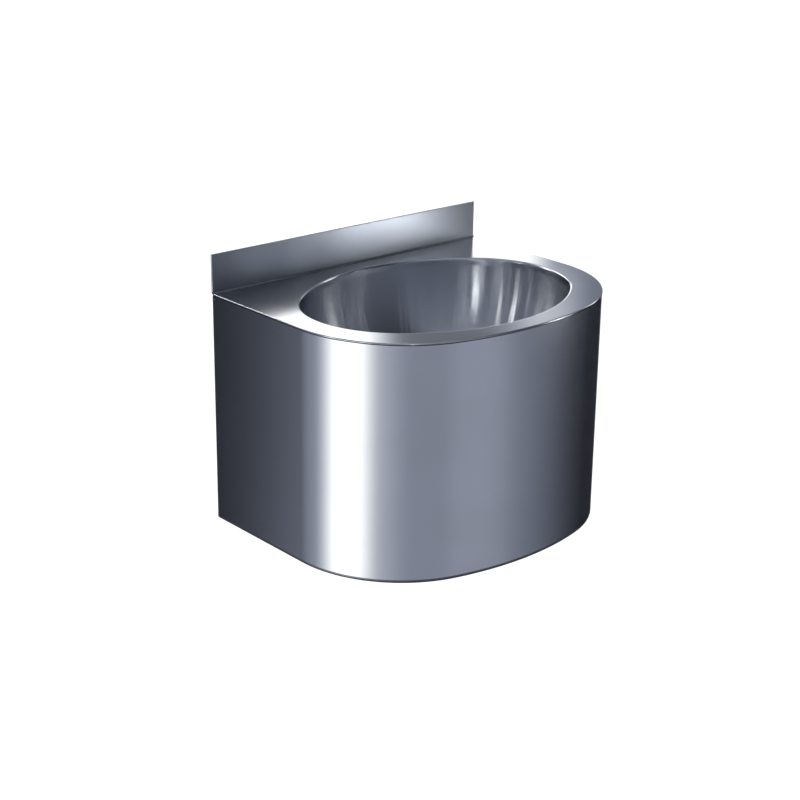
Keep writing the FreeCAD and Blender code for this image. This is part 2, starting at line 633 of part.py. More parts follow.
def make_trap_head():
    """Trap body: flanged inlet on top, open spigot below and a side socket towards the wall."""
    flange_top = UNION_FACE - UNION_FLANGE
    flange_low = flange_top - UNION_FLANGE
    outside = turned([(0, HEAD_BOTTOM), (HEAD_RADIUS, HEAD_BOTTOM), (HEAD_RADIUS, HEAD_TOP),
                      (INLET_RADIUS, HEAD_TOP), (INLET_RADIUS, flange_low), (TAIL_RADIUS, flange_low),
                      (TAIL_RADIUS, flange_top), (0, flange_top)])
    outside = outside.fuse(upright_hole(SOCKET_RADIUS, 0, OUTLET_Z, (BOWL_Y, OUTLET_SOCKET_END)))
    chamber = ring_solid(HEAD_RADIUS - HEAD_WALL, HEAD_BOTTOM - PAST, HEAD_TOP - HEAD_WALL)
    inlet = ring_solid(DIP_RADIUS + FIT_CLEARANCE, HEAD_BOTTOM, flange_top + PAST)
    waterway = upright_hole(TUBE_RADIUS - TUBE_WALL, 0, OUTLET_Z, (BOWL_Y, OUTLET_SOCKET_END))
    socket = upright_hole(TUBE_RADIUS + FIT_CLEARANCE, 0, OUTLET_Z,
                          (TUBE_START - FIT_CLEARANCE, OUTLET_SOCKET_END + PAST))
    for hollow in (chamber, inlet, waterway, socket):
        outside = outside.cut(hollow)
    return outside


def make_trap_outlet_seal():
    """Seal round the outlet tube, squeezed against the end of the head's socket."""
    end = OUTLET_SOCKET_END + OUTLET_SEAL
    return outlet_turned([(TUBE_RADIUS, OUTLET_SOCKET_END), (SOCKET_RADIUS, OUTLET_SOCKET_END),
                          (SOCKET_RADIUS, end), (TUBE_RADIUS, end)])


def make_trap_outlet_nut():
    """Union nut on the side socket: its lip faces the wall and holds the seal."""
    nut = union_nut(SOCKET_RADIUS + FIT_CLEARANCE, TUBE_RADIUS + FIT_CLEARANCE, 0, UNION_NUT_HEIGHT)
    nut.translate(vec(0, -BOWL_Y))
    nut.rotate(vec(0, 0), X_AXIS, 90)
    nut.translate(vec(0, OUTLET_SOCKET_END + OUTLET_SEAL + NUT_LIP, OUTLET_Z))
    return nut


def make_trap_outlet_tube():
    """Outlet tube to the wall face, with a bead that stops what is pushed over its free end."""
    bore = TUBE_RADIUS - TUBE_WALL
    bead = -STOP_BEAD_FROM_WALL
    bead_radius = TUBE_RADIUS + STOP_BEAD_HEIGHT
    return outlet_turned([(bore, TUBE_START), (TUBE_RADIUS, TUBE_START),
                          (TUBE_RADIUS, bead - STOP_BEAD_WIDTH), (bead_radius, bead - STOP_BEAD_WIDTH),
                          (bead_radius, bead),
                          (TUBE_RADIUS, bead), (TUBE_RADIUS, 0), (bore, 0)])


def make_trap_cup_seal():
    return ring(HEAD_RADIUS - HEAD_WALL, HEAD_RADIUS, CUP_TOP, HEAD_BOTTOM)


def make_trap_cup():
    """Cleaning cup: a flange under the seal, a straight wall and a floor with a sloped foot."""
    flange_low = CUP_TOP - CUP_FLANGE
    inner = CUP_RADIUS - CUP_WALL
    floor = CUP_BOTTOM + CUP_FOOT_SLOPE
    return turned([(0, CUP_BOTTOM), (CUP_RADIUS - CUP_FOOT_SLOPE, CUP_BOTTOM), (CUP_RADIUS, floor),
                   (CUP_RADIUS, flange_low), (HEAD_RADIUS, flange_low), (HEAD_RADIUS, CUP_TOP),
                   (inner, CUP_TOP), (inner, floor), (0, floor)])


def make_trap_cup_nut():
    """Union nut that holds the cup under the head."""
    return union_nut(HEAD_RADIUS + FIT_CLEARANCE, CUP_RADIUS + FIT_CLEARANCE,
                     CUP_TOP - CUP_FLANGE - FIT_CLEARANCE - NUT_LIP, CUP_NUT_HEIGHT)


PIECES = {
    "deck": make_deck,
    "bowl": make_bowl,
    "apron": make_apron,
    "rear_hanger": make_rear_hanger,
    "wall_rail": make_wall_rail,
    "locking_screws": make_locking_screws,
    "earth_tag": make_earth_tag,
    "strainer": make_strainer,
    "strainer_seal": make_strainer_seal,
    "strainer_screw": make_strainer_screw,
    "bowl_seal": make_bowl_seal,
    "waste_body": make_waste_body,
    "trap_inlet_nut": make_trap_inlet_nut,
    "trap_inlet_seal": make_trap_inlet_seal,
    "trap_dip_tube": make_trap_dip_tube,
    "trap_head": make_trap_head,
    "trap_outlet_seal": make_trap_outlet_seal,
    "trap_outlet_nut": make_trap_outlet_nut,
    "trap_outlet_tube": make_trap_outlet_tube,
    "trap_cup_seal": make_trap_cup_seal,
    "trap_cup": make_trap_cup,
    "trap_cup_nut": make_trap_cup_nut,
}


def main():
    os.makedirs("parts", exist_ok=True)
    for name, make in PIECES.items():
        shape = make()
        box = shape.BoundBox
        print(f"{name:18s} solids {len(shape.Solids)} valid {shape.isValid()} volume {shape.Volume:10.1f}"
              f" x {box.XMin:.2f} {box.XMax:.2f} y {box.YMin:.2f} {box.YMax:.2f}"
              f" z {box.ZMin:.2f} {box.ZMax:.2f}")
        shape.exportStep(f"parts/{name}.step")


main()
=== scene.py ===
"""Looks of a wall-hung hand wash sink: satin steel deck, bowl and apron, waste, trap and wall rail."""

import json
import math

import bmesh
import bpy
from mathutils import Matrix, Vector
from mathutils.geometry import tessellate_polygon


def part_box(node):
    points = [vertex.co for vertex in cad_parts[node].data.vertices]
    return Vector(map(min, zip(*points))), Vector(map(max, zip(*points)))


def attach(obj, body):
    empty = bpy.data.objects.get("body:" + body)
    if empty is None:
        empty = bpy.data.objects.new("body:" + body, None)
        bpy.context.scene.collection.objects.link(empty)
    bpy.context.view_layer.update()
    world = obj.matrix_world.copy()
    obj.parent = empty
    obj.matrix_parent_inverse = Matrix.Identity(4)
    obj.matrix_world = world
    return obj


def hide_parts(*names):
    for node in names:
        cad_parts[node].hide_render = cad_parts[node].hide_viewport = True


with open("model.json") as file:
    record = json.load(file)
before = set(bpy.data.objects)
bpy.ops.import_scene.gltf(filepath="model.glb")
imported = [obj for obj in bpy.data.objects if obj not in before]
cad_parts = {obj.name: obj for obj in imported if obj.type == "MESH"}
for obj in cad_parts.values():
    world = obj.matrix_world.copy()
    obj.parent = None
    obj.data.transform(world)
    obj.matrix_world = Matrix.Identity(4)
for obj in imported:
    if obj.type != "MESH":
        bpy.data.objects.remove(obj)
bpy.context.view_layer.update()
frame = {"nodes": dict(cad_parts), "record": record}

bl_info = {
    "name": "Hand wash sink",
    "version": (1, 0, 0),
    "blender": (4, 5, 0),
    "location": "View3D > Sidebar > Sink",
    "description": "Builds the finished steel skins, fittings and studio of a wall-hung hand wash sink",
    "category": "Object",
}

# ---------------------------------------------------------------- sizes, in metres
DECK_LOW, DECK_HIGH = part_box("deck")
APRON_LOW, APRON_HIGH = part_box("apron")
BOWL_LOW, BOWL_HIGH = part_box("bowl")

SHEET = 0.0012
SEAM_RISE = 0.0014
HALF_WIDTH = DECK_HIGH.x
DEPTH = -DECK_LOW.y
UPSTAND_TOP = DECK_HIGH.z
LIP_BOTTOM = DECK_LOW.z
SKIRT_BOTTOM = APRON_HIGH.z + SEAM_RISE
APRON_BOTTOM = APRON_LOW.z
APRON_HALF_WIDTH = APRON_HIGH.x
BOWL_Y = (BOWL_LOW.y + BOWL_HIGH.y) / 2
LIP_HALF_LENGTH = BOWL_HIGH.x - SHEET
LIP_HALF_WIDTH = (BOWL_HIGH.y - BOWL_LOW.y) / 2 - SHEET
UNDER_SEAT = BOWL_LOW.z

UP = Vector((0, 0, 1))
DOWN = -UP
BACK = Vector((0, 1, 0))
FRONT = -BACK
RIGHT = Vector((1, 0, 0))
QUARTER = math.pi / 2
WELD = 1e-6

# Places of the finishes in a skin's list of materials: the deck has its polished steel and the fold's darker
# grey, painted as shade in the crease; the apron its polished steel, and the seam's and the foot's greys
# painted as shade.
POLISHED, FOLD_SHADE, SEAM_SHADE, FOOT_SHADE = 0, 1, 1, 2

# Roughness of the plain steels, how far the polishing grain is squeezed along X, Y and Z, and the turn of the
# brushing that spreads reflections up and down.
ROUGHNESS = {"fold_shade_steel": 0.35, "seam_shade_steel": 0.5, "foot_shade_steel": 0.35, "bracket_steel": 0.30,
             "fastener_steel": 0.22, "waste_steel": 0.12}
GRAIN_ALONG_WALL = (6, 1400, 1400)
GRAIN_ROUND_APRON = (6, 6, 1400)
GRAIN_ROUND_BOWL = (14, 14, 900)
BRUSHED_UPRIGHT = 0.25


# ---------------------------------------------------------------- settings a user would change
def length(label, text, size):
    return bpy.props.FloatProperty(name=label, description=text, default=size, min=0.0, unit="LENGTH")


def share(label, text, size):
    return bpy.props.FloatProperty(name=label, description=text, default=size, min=0.0, soft_max=1.0,
                                   subtype="FACTOR")


def angle(label, text, degrees):
    return bpy.props.FloatProperty(name=label, description=text, default=math.radians(degrees),
                                   unit="ROTATION")


def colour(label, text, rgb):
    return bpy.props.FloatVectorProperty(name=label, description=text, default=rgb, size=3, min=0.0, max=1.0,
                                         subtype="COLOR")


def count(label, text, number):
    return bpy.props.IntProperty(name=label, description=text, default=number, min=1)


class SinkSheetSettings(bpy.types.PropertyGroup):
    """Sizes of the folded and pressed sheet."""
    deck_skirt: length("Deck edge", "Height of the deck's turned-down edge", 0.0016)
    deck_edge: length("Deck edge bend", "Radius of the bend at the deck's edge", 0.0014)
    corner_radius: length("Plan corner", "Radius of the deck's two front corners", 0.16)
    front_radius: length("Plan front", "Radius of the deck's long front curve", 0.41)
    rim_bend: length("Rim bend", "Radius of the rolled rim", 0.003)
    hem_width: length("Hem", "Width of the folded hem behind the upstand", 0.012)
    upstand_bend: length("Upstand bend", "Inside radius between deck and upstand", 0.002)
    apron_bend: length("Apron bend", "Outside radius of the apron's folds", 0.003)
    apron_return: length("Apron return", "Width of the flange under the apron", 0.016)
    seam_height: length("Seam height", "Height of the seam between the apron and the deck's edge", 0.0014)
    seam_depth: length("Seam depth", "Depth of that seam", 0.0007)
    wall_flange: length("Wall flange", "Width of the apron's flange along the wall", 0.025)
    # The foot band's height sets how far the dark grey, painted as shade along the bottom edge, reaches above
    # the fold.
    foot_band: length("Foot band", "Height of the unpolished band above the foot's fold", 0.0018)
    fixing_hole: length("Fixing hole", "Radius of the holes in the wall flanges", 0.0035)
    fixing_height: length("Fixing height", "Height of those holes above the apron's foot", 0.04)
    fixing_inset: length("Fixing inset", "Distance of those holes from the deck's side", 0.0135)
    curve_steps: count("Curve steps", "Faces along each plan curve", 48)
    bend_steps: count("Bend steps", "Faces round each bend", 10)


class SinkBowlSettings(bpy.types.PropertyGroup):
    """Sizes of the pressed bowl."""
    oval_split: angle("Oval split", "Where the end arcs of the oval meet its side arcs", 47.0)
    depth: length("Bowl depth", "Depth of the bowl's floor under the deck", 0.13)
    wall_sweep: angle("Wall sweep", "How far the wall arc leans inwards at its foot", 25.0)
    corner_radius: length("Bowl corner", "Radius between wall and floor", 0.075)
    floor_slope: angle("Floor slope", "Fall of the floor towards the waste", 3.0)
    flat_end: length("Flat end", "Radius at the ends of the level floor", 0.007)
    seat_radius: length("Waste recess", "Radius of the recess for the waste", 0.0325)
    seat_edge: length("Recess edge", "Rounding of the recess's edge", 0.001)
    hole_radius: length("Waste hole", "Radius of the hole under the waste", 0.022)


class SinkFinishSettings(bpy.types.PropertyGroup):
    """Colours and finishes."""
    steel: colour("Steel", "Colour of the stainless sheet", (0.60, 0.62, 0.65))
    # The upstand's colour is the steel's own tone with a blue cast painted in, standing in for the cool
    # studio light that its brushing reflects.
    upstand: colour("Upstand steel", "Colour of the brushed upstand", (0.56, 0.60, 0.67))
    bracket: colour("Bracket steel", "Colour of the mill-finished brackets", (0.50, 0.51, 0.53))
    plastic: colour("Trap plastic", "Colour of the moulded trap", (0.80, 0.80, 0.78))
    rubber: colour("Rubber", "Colour of the seals", (0.025, 0.025, 0.027))
    # The seam's colour is a near-black painted on the groove under the deck's edge as the shade that falls
    # there.
    seam: colour("Seam", "Colour of the weld line under the deck's edge", (0.05, 0.053, 0.06))
    # The fold's colour is a darker grey painted on the bend between deck and upstand as the shade in that
    # crease.
    fold: colour("Fold", "Colour of the unpolished fold between deck and upstand", (0.29, 0.30, 0.32))
    # The foot's colour is a dark grey painted along the apron's foot as shade: the dark the bottom edge
    # reflects from below.
    foot: colour("Foot", "Colour of the unpolished edge along the apron's foot", (0.20, 0.21, 0.235))
    sheet_roughness: share("Sheet roughness", "Roughness of the deck and apron", 0.16)
    upstand_roughness: share("Upstand roughness", "Roughness of the brushed upstand", 0.34)
    upstand_brushing: share("Upstand brushing",
                            "How far the upstand's brushing spreads reflections up and down", 0.9)
    bowl_roughness: share("Bowl roughness", "Roughness of the pressed bowl", 0.23)
    bowl_brushing: share("Bowl brushing",
                         "How far the bowl's polishing spreads reflections up and down its wall", 1.0)
    grain: share("Grain", "Strength of the polishing grain", 0.05)


class SinkDetailSettings(bpy.types.PropertyGroup):
    """Sizes of the repeated details on the fittings."""
    nut_flats: count("Flats", "Flats round each trap nut", 8)
    ribs_per_flat: count("Ribs", "Grip ribs on each flat", 3)
    rib_spacing: length("Rib spacing", "Distance between neighbouring ribs", 0.005)
    rib_width: length("Rib width", "Width of a rib", 0.0016)
    rib_height: length("Rib height", "Height of a rib above the flat", 0.0007)
    thread_pitch: length("Thread pitch", "Distance between thread crests", 0.0023)
    thread_radius: length("Thread radius", "Radius of the threaded tubes", 0.02095)
    thread_crest: length("Thread crest", "Half-thickness of a thread crest", 0.0006)
    tail_crests: count("Tail crests", "Thread crests that show above the inlet nut", 6)
    socket_crests: count("Socket crests", "Thread crests that show beside the outlet nut", 3)
    welds: count("Spot welds", "Spot welds along the hanger", 9)
    weld_spacing: length("Weld spacing", "Distance between spot welds", 0.042)
    weld_radius: length("Weld radius", "Radius of a spot weld", 0.0025)
    weld_height: length("Weld height", "Height of a spot weld", 0.0004)
    bracket_sheet: length("Bracket sheet", "Thickness of the hanger's sheet", 0.002)


class SinkStageSettings(bpy.types.PropertyGroup):
    """Camera and studio."""
    yaw: angle("Camera yaw", "Heading of the camera, from straight at the wall", 41.18)
    pitch: angle("Camera pitch", "How far the camera looks down", 20.25)
    roll: angle("Camera roll", "Tilt of the camera about its line of sight", 0.74)
    distance: length("Camera distance", "Distance to the point the camera turns about", 2.2437)
    lens: length("Lens", "Focal length", 0.07878)
    floor_drop: length("Floor", "Distance from the sink's foot down to the floor", 0.55)
    dome_radius: length("Dome", "Radius of the dome that carries the soft panels", 0.9)


# ---------------------------------------------------------------- skins
def add_object(name, mesh):
    """Links a mesh to the scene as an object at the origin."""
    made = bpy.data.objects.new(name, mesh)
    bpy.context.scene.collection.objects.link(made)
    return made


class Skin:
    """Faces gathered by corner place and true surface normal. Corners in one place share a vertex."""

    def __init__(self):
        self.numbers = {}
        self.places = []
        self.faces = []
        self.normals = []
        self.finish = POLISHED
        self.finishes = []

    def number(self, place):
        key = tuple(round(value / WELD) for value in place)
        if key not in self.numbers:
            self.numbers[key] = len(self.places)
            self.places.append(place)
        return self.numbers[key]

    def face(self, corners):
        """Adds a face from (place, normal) corners, wound to look the way its normals point."""
        ring = []
        for place, normal in corners:
            number = self.number(place)
            if not ring or number != ring[-1][0]:
                ring.append((number, normal))
        if ring[0][0] == ring[-1][0]:
            ring.pop()
        if len(ring) < 3:
            return
        points = [self.places[number] for number, _ in ring]
        facing = Vector()
        for here, following in zip(points, points[1:] + points[:1]):
            facing += (here - points[0]).cross(following - points[0])
        if facing.dot(sum((normal for _, normal in ring), Vector())) < 0:
            ring.reverse()
        self.faces.append([number for number, _ in ring])
        self.finishes.append(self.finish)
        self.normals.extend(normal for _, normal in ring)

    def grid(self, rows, closed=False, skip=()):
        """Faces between neighbouring rows of (place, normal) corners."""
        for lower, upper in zip(rows, rows[1:]):
            for start in range(len(lower) if closed else len(lower) - 1):
                end = (start + 1) % len(lower)
                if start not in skip:
                    self.face([lower[start], lower[end], upper[end], upper[start]])

    def plate(self, loops, normal):
        """A flat area inside the first loop of places and outside the others."""
        places = [place for loop in loops for place in loop]
        for triangle in tessellate_polygon(loops):
            self.face([(places[number], normal) for number in triangle])

    def make(self, name):
        mesh = bpy.data.meshes.new(name)
        mesh.from_pydata(self.places, [], self.faces)
        mesh.polygons.foreach_set("material_index", self.finishes)
        mesh.normals_split_custom_set(self.normals)
        return add_object(name, mesh)


class Column:
    """One upright line of a swept sheet: its plan place at any inset from the outline, and its normal."""

    def __init__(self, centre, radius, turn):
        self.centre = centre
        self.radius = radius
        self.normal = Vector((math.cos(turn), math.sin(turn), 0))

    def at(self, inset, z):
        place = self.centre + self.normal * max(self.radius - inset, 0.0)
        return Vector((place.x, place.y, z))


class WallColumn(Column):
    """A column that mitres at the wall, where the apron's side and its wall flange meet."""

    def at(self, inset, z):
        place = super().at(inset, z)
        side = APRON_HALF_WIDTH - inset
        return Vector((max(-side, min(side, place.x)), min(place.y, -inset), z))


def steps(start, end, number):
    """Evenly spaced values from start to end, both included."""
    return [start + (end - start) * index / number for index in range(number + 1)]


def plan_arcs(half_width, depth, corner_radius, front_radius):
    """The D-shaped plan's right corner, front and left corner, as (centre, radius, start, end)."""
    corner_x = half_width - corner_radius
    reach = front_radius - corner_radius
    side = depth + math.sqrt(reach ** 2 - corner_x ** 2) - front_radius
    front_centre = Vector((0, front_radius - depth, 0))
    lean = math.atan2(-side - front_centre.y, corner_x)
    return [
        (Vector((corner_x, -side, 0)), corner_radius, 0.0, lean),
        (front_centre, front_radius, lean, -math.pi - lean),
        (Vector((-corner_x, -side, 0)), corner_radius, -math.pi - lean, -math.pi),
    ]


def plan_columns(sheet, inset, rear, kind=Column):
    """Columns round the D-shaped plan, from its right-hand rear end to its left-hand one."""
    half_width = HALF_WIDTH - inset
    arcs = plan_arcs(half_width, DEPTH - inset, sheet.corner_radius - inset, sheet.front_radius - inset)
    columns = [kind(Vector((0, rear, 0)), half_width, 0.0)]
    for centre, radius, start, end in arcs:
        turns = steps(start, end, sheet.curve_steps)
        columns.extend(kind(centre, radius, turn) for turn in turns[:-1])
    columns.append(kind(centre, radius, end))
    columns.append(kind(Vector((0, rear, 0)), half_width, -math.pi))
    return columns


def oval_columns(sheet, bowl, half_length, half_width):
    """Columns round the bowl's four-arc oval."""
    rise = bowl.oval_split
    spread = (half_length - half_width) / (math.cos(rise) + math.sin(rise) - 1)
    end_radius = half_length - spread * math.cos(rise)
    side_radius = end_radius + spread
    end_x = half_length - end_radius
    side_y = side_radius - half_width
    arcs = [
        (Vector((end_x, BOWL_Y, 0)), end_radius, -rise, rise),
        (Vector((0, BOWL_Y - side_y, 0)), side_radius, rise, math.pi - rise),
        (Vector((-end_x, BOWL_Y, 0)), end_radius, math.pi - rise, math.pi + rise),
        (Vector((0, BOWL_Y + side_y, 0)), side_radius, math.pi + rise, 2 * math.pi - rise),
    ]
    columns = []
    for centre, radius, start, end in arcs:
        columns.extend(Column(centre, radius, turn) for turn in steps(start, end, sheet.curve_steps)[:-1])
    return columns


def strip(columns, section):
    """Rows of corners from a section of (inset, z, outward share, upward share) points."""
    rows = []
    for inset, z, outward, upward in section:
        rows.append([(column.at(inset, z), column.normal * outward + UP * upward) for column in columns])
    return rows


def bend(centre, radius, start, end, number, way=1):
    """A round stretch of a section. Angles run from outwards (0) up to +90 degrees; way -1 is a hollow."""
    points = []
    for turn in steps(start, end, number):
        outward, upward = math.cos(turn), math.sin(turn)
        points.append((centre[0] - radius * outward, centre[1] + radius * upward,
                       way * outward, way * upward))
    return points


def flat(inset_start, inset_end, z, way):
    """A level stretch of a section; way 1 looks up."""
    return [(inset_start, z, 0.0, way), (inset_end, z, 0.0, way)]


def wall(inset, z_start, z_end, way):
    """An upright stretch of a section; way 1 looks outwards."""
    return [(inset, z_start, way, 0.0), (inset, z_end, way, 0.0)]


# ---------------------------------------------------------------- deck and upstand
def deck_height(sheet):
    """Height of the deck's upper face."""
    return SKIRT_BOTTOM + sheet.deck_skirt


def deck_plate(skin, sheet, bowl):
    """Level deck, its turned-down edge, the rolled rim of the opening and the bend up to the upstand."""
    deck = deck_height(sheet)
    under = deck - SHEET
    upstand_face = -2 * SHEET
    rear = upstand_face - sheet.upstand_bend
    edge, inner = sheet.deck_edge, SHEET
    crossing = math.asin(1 - SHEET / edge)
    columns = plan_columns(sheet, 0.0, rear)
    low_bend = bend((edge, deck - edge), edge, 0.0, crossing, sheet.bend_steps // 3)
    high_bend = bend((edge, deck - edge), edge, crossing, QUARTER, sheet.bend_steps)
    for section in (
            wall(0.0, SKIRT_BOTTOM, deck - edge, 1),
            low_bend,
            high_bend,
            flat(0.0, inner, SKIRT_BOTTOM, -1),
            wall(inner, SKIRT_BOTTOM, under, -1)):
        skin.grid(strip(columns, section))

    rim = oval_columns(sheet, bowl, LIP_HALF_LENGTH + sheet.rim_bend, LIP_HALF_WIDTH + sheet.rim_bend)
    roll = sheet.rim_bend
    centre = (0.0, deck - roll)
    for section in (
            rim_bend(centre, roll, sheet.bend_steps, 1),
            wall(roll, deck - roll, LIP_BOTTOM, -1),
            flat(roll, roll - SHEET, LIP_BOTTOM, -1),
            wall(roll - SHEET, LIP_BOTTOM, deck - roll, 1),
            rim_bend(centre, roll - SHEET, sheet.bend_steps, -1)):
        skin.grid(strip(rim, section), closed=True)
    for z, inset, normal in ((deck, edge, UP), (under, inner, DOWN)):
        outline = [column.at(inset, z) for column in columns]
        opening = [column.at(0.0, z) for column in rim]
        skin.plate([outline, opening], normal)
    rear_bend(skin, sheet, deck, rear, (0.0, edge), (0.0, low_bend[-1][0], SHEET))
    low_corner = [(0.0, SKIRT_BOTTOM)] + [point[:2] for point in low_bend]
    low_corner += [(inner, under), (inner, SKIRT_BOTTOM)]
    high_corner = [(0.0, under)] + [point[:2] for point in high_bend] + [(0.0, deck)]
    for side in (-1, 1):
        for corner, normal in ((low_corner, BACK), (high_corner, FRONT)):
            skin.plate([[Vector((side * (HALF_WIDTH - inset), rear, z)) for inset, z in corner]], normal)


def rim_bend(centre, radius, number, way):
    """The rim rolls over from level to upright towards the inside of the oval."""
    points = []
    for turn in steps(0.0, QUARTER, number):
        inward, upward = math.sin(turn), math.cos(turn)
        points.append((centre[0] + radius * inward, centre[1] + radius * upward, -way * inward, way * upward))
    return points


def rear_bend(skin, sheet, deck, rear, top_insets, under_insets):
    """Bend between deck and upstand along the whole width, with its ends closed, painted a darker grey as the
    shade in that crease.
    """
    centre_z = deck + sheet.upstand_bend
    faces = []
    for radius, way, insets in ((sheet.upstand_bend, -1, top_insets),
                                (sheet.upstand_bend + SHEET, 1, under_insets)):
        left = [inset - HALF_WIDTH for inset in insets]
        line = left + [-x for x in reversed(left)]
        rows = []
        for turn in steps(0.0, QUARTER, sheet.bend_steps):
            normal = way * (BACK * math.sin(turn) + DOWN * math.cos(turn))
            y = rear + radius * math.sin(turn)
            z = centre_z - radius * math.cos(turn)
            rows.append([(Vector((x, y, z)), normal) for x in line])
        # Both faces of the bend get the darker grey painted as the crease's shade.
        skin.finish = FOLD_SHADE
        skin.grid(rows)
        skin.finish = POLISHED
        faces.append(rows)
    inner, outer = faces
    skin.face([(place, UP) for place, _ in inner[-1] + outer[-1][::-1]])
    for end, normal in ((0, -RIGHT), (-1, RIGHT)):
        for index in range(sheet.bend_steps):
            corners = (inner[index][end], inner[index + 1][end], outer[index + 1][end], outer[index][end])
            skin.face([(place, normal) for place, _ in corners])


def upstand(skin, sheet):
    """Upstand with its hem folded back along the top and both ends."""
    foot = deck_height(sheet) + sheet.upstand_bend
    hem, middle, face = sheet.hem_width, -SHEET, -2 * SHEET
    half_turn = steps(-QUARTER, QUARTER, 2 * sheet.bend_steps)

    def frame_line(inset, y, normal_in, normal_y):
        """Corners along the left end, the top and the right end, at an inset from the outer edge."""
        side, top = HALF_WIDTH - inset, UPSTAND_TOP - inset
        outline = [(-side, foot, -RIGHT), (-side, top, -RIGHT), (-side, top, UP), (side, top, UP),
                   (side, top, RIGHT), (side, foot, RIGHT)]
        return [(Vector((x, y, z)), outward * -normal_in + BACK * normal_y) for x, z, outward in outline]

    skin.grid([frame_line(hem, face, 0.0, -1.0), frame_line(SHEET, face, 0.0, -1.0)], skip=(1, 3))
    rows = []
    for turn in half_turn:
        rows.append(frame_line(SHEET - SHEET * math.cos(turn), middle + SHEET * math.sin(turn),
                               -math.cos(turn), math.sin(turn)))
    skin.grid(rows, skip=(1, 3))
    skin.grid([frame_line(SHEET, 0.0, 0.0, 1.0), frame_line(hem, 0.0, 0.0, 1.0)], skip=(1, 3))
    skin.grid([frame_line(hem, 0.0, 1.0, 0.0), frame_line(hem, middle, 1.0, 0.0)], skip=(1, 3))
    for y, normal in ((face, FRONT), (middle, BACK)):
        line = [place for place, _ in frame_line(hem, y, 0.0, 0.0)]
        skin.face([(line[number], normal) for number in (0, 1, 3, 5)])
    between_ends = []
    for side in (-1, 1):
        round_end = []
        for turn in half_turn:
            x = side * (HALF_WIDTH - SHEET + SHEET * math.cos(turn))
            round_end.append(Vector((x, middle + SHEET * math.sin(turn), foot)))
        back, inside, front = (Vector((side * (HALF_WIDTH - hem), y, foot)) for y in (0.0, middle, face))
        skin.face([(place, DOWN) for place in round_end + [back, inside, front]])
        between_ends += [front, inside] if side < 0 else [inside, front]
    skin.face([(place, DOWN) for place in between_ends])


# ---------------------------------------------------------------- bowl
def bowl_section(sheet, bowl, offset, way):
    """Section of the bowl's wall, corner and sloping floor as insets from the lip, moved out by offset."""
    floor = deck_height(sheet) - bowl.depth
    sweep, slope, radius = bowl.wall_sweep, bowl.floor_slope, bowl.corner_radius
    inset_end = bowl_flat_inset(bowl)
    drop = radius * (math.cos(slope) - math.sin(sweep))
    run = radius * (math.cos(sweep) - math.sin(slope))
    wall_radius = ((LIP_BOTTOM - floor - drop - (inset_end - run) * math.tan(slope))
                   / (math.sin(sweep) - (1 - math.cos(sweep)) * math.tan(slope)))
    wall_centre = (wall_radius, LIP_BOTTOM)
    corner_centre = (wall_radius - (wall_radius - radius) * math.cos(sweep),
                     LIP_BOTTOM - (wall_radius - radius) * math.sin(sweep))
    points = bend(wall_centre, wall_radius + offset, 0.0, -sweep, 2 * sheet.bend_steps, way)
    points += bend(corner_centre, radius + offset, -sweep, slope - QUARTER, 3 * sheet.bend_steps, way)[1:]
    points.append((inset_end, floor - offset, 0.0, -way))
    return points


def bowl_flat_inset(bowl):
    """Inset from the lip to the level floor."""
    rise = bowl.oval_split
    share_of_spread = math.cos(rise) / (math.cos(rise) + math.sin(rise) - 1)
    return LIP_HALF_LENGTH - (LIP_HALF_LENGTH - LIP_HALF_WIDTH) * share_of_spread - bowl.flat_end


def circle(columns, radius, z):
    """A circle about the bowl's axis with one corner for each column of the oval."""
    centre = Vector((0, BOWL_Y, z))
    return [centre + column.normal * radius for column in columns]


def pressed_bowl(skin, sheet, bowl):
    """The bowl's inner and outer walls, its floor and the recess round the waste hole."""
    columns = oval_columns(sheet, bowl, LIP_HALF_LENGTH, LIP_HALF_WIDTH)
    floor = deck_height(sheet) - bowl.depth
    seat = UNDER_SEAT + SHEET
    inset = bowl_flat_inset(bowl)
    skin.grid(strip(columns, bowl_section(sheet, bowl, 0.0, -1)), closed=True)
    skin.grid(strip(columns, bowl_section(sheet, bowl, SHEET, 1)), closed=True)
    skin.grid(strip(columns, flat(0.0, -SHEET, LIP_BOTTOM, 1)), closed=True)

    def level(rings, normal):
        skin.grid([[(place, normal) for place in ring] for ring in rings], closed=True)

    def upright(radius, low, high, way):
        rows = []
        for z in (low, high):
            ring = circle(columns, radius, z)
            rows.append([(place, column.normal * way) for place, column in zip(ring, columns)])
        skin.grid(rows, closed=True)

    edge = bowl.seat_edge
    rim = [column.at(inset, floor) for column in columns]
    level([rim, circle(columns, bowl.seat_radius + edge, floor)], UP)
    rows = []
    for turn in steps(0.0, QUARTER, sheet.bend_steps // 2):
        radius = bowl.seat_radius + edge - edge * math.sin(turn)
        ring = circle(columns, radius, floor - edge + edge * math.cos(turn))
        rows.append([(place, UP * math.cos(turn) - column.normal * math.sin(turn))
                     for place, column in zip(ring, columns)])
    skin.grid(rows, closed=True)
    upright(bowl.seat_radius, seat, floor - edge, -1)
    level([circle(columns, bowl.seat_radius, seat), circle(columns, bowl.hole_radius, seat)], UP)
    upright(bowl.hole_radius, UNDER_SEAT, seat, -1)
    outer = bowl.seat_radius + SHEET
    level([circle(columns, bowl.hole_radius, UNDER_SEAT), circle(columns, outer, UNDER_SEAT)], DOWN)
    upright(outer, UNDER_SEAT, floor - SHEET, 1)
    rim = [column.at(inset, floor - SHEET) for column in columns]
    level([circle(columns, outer, floor - SHEET), rim], DOWN)


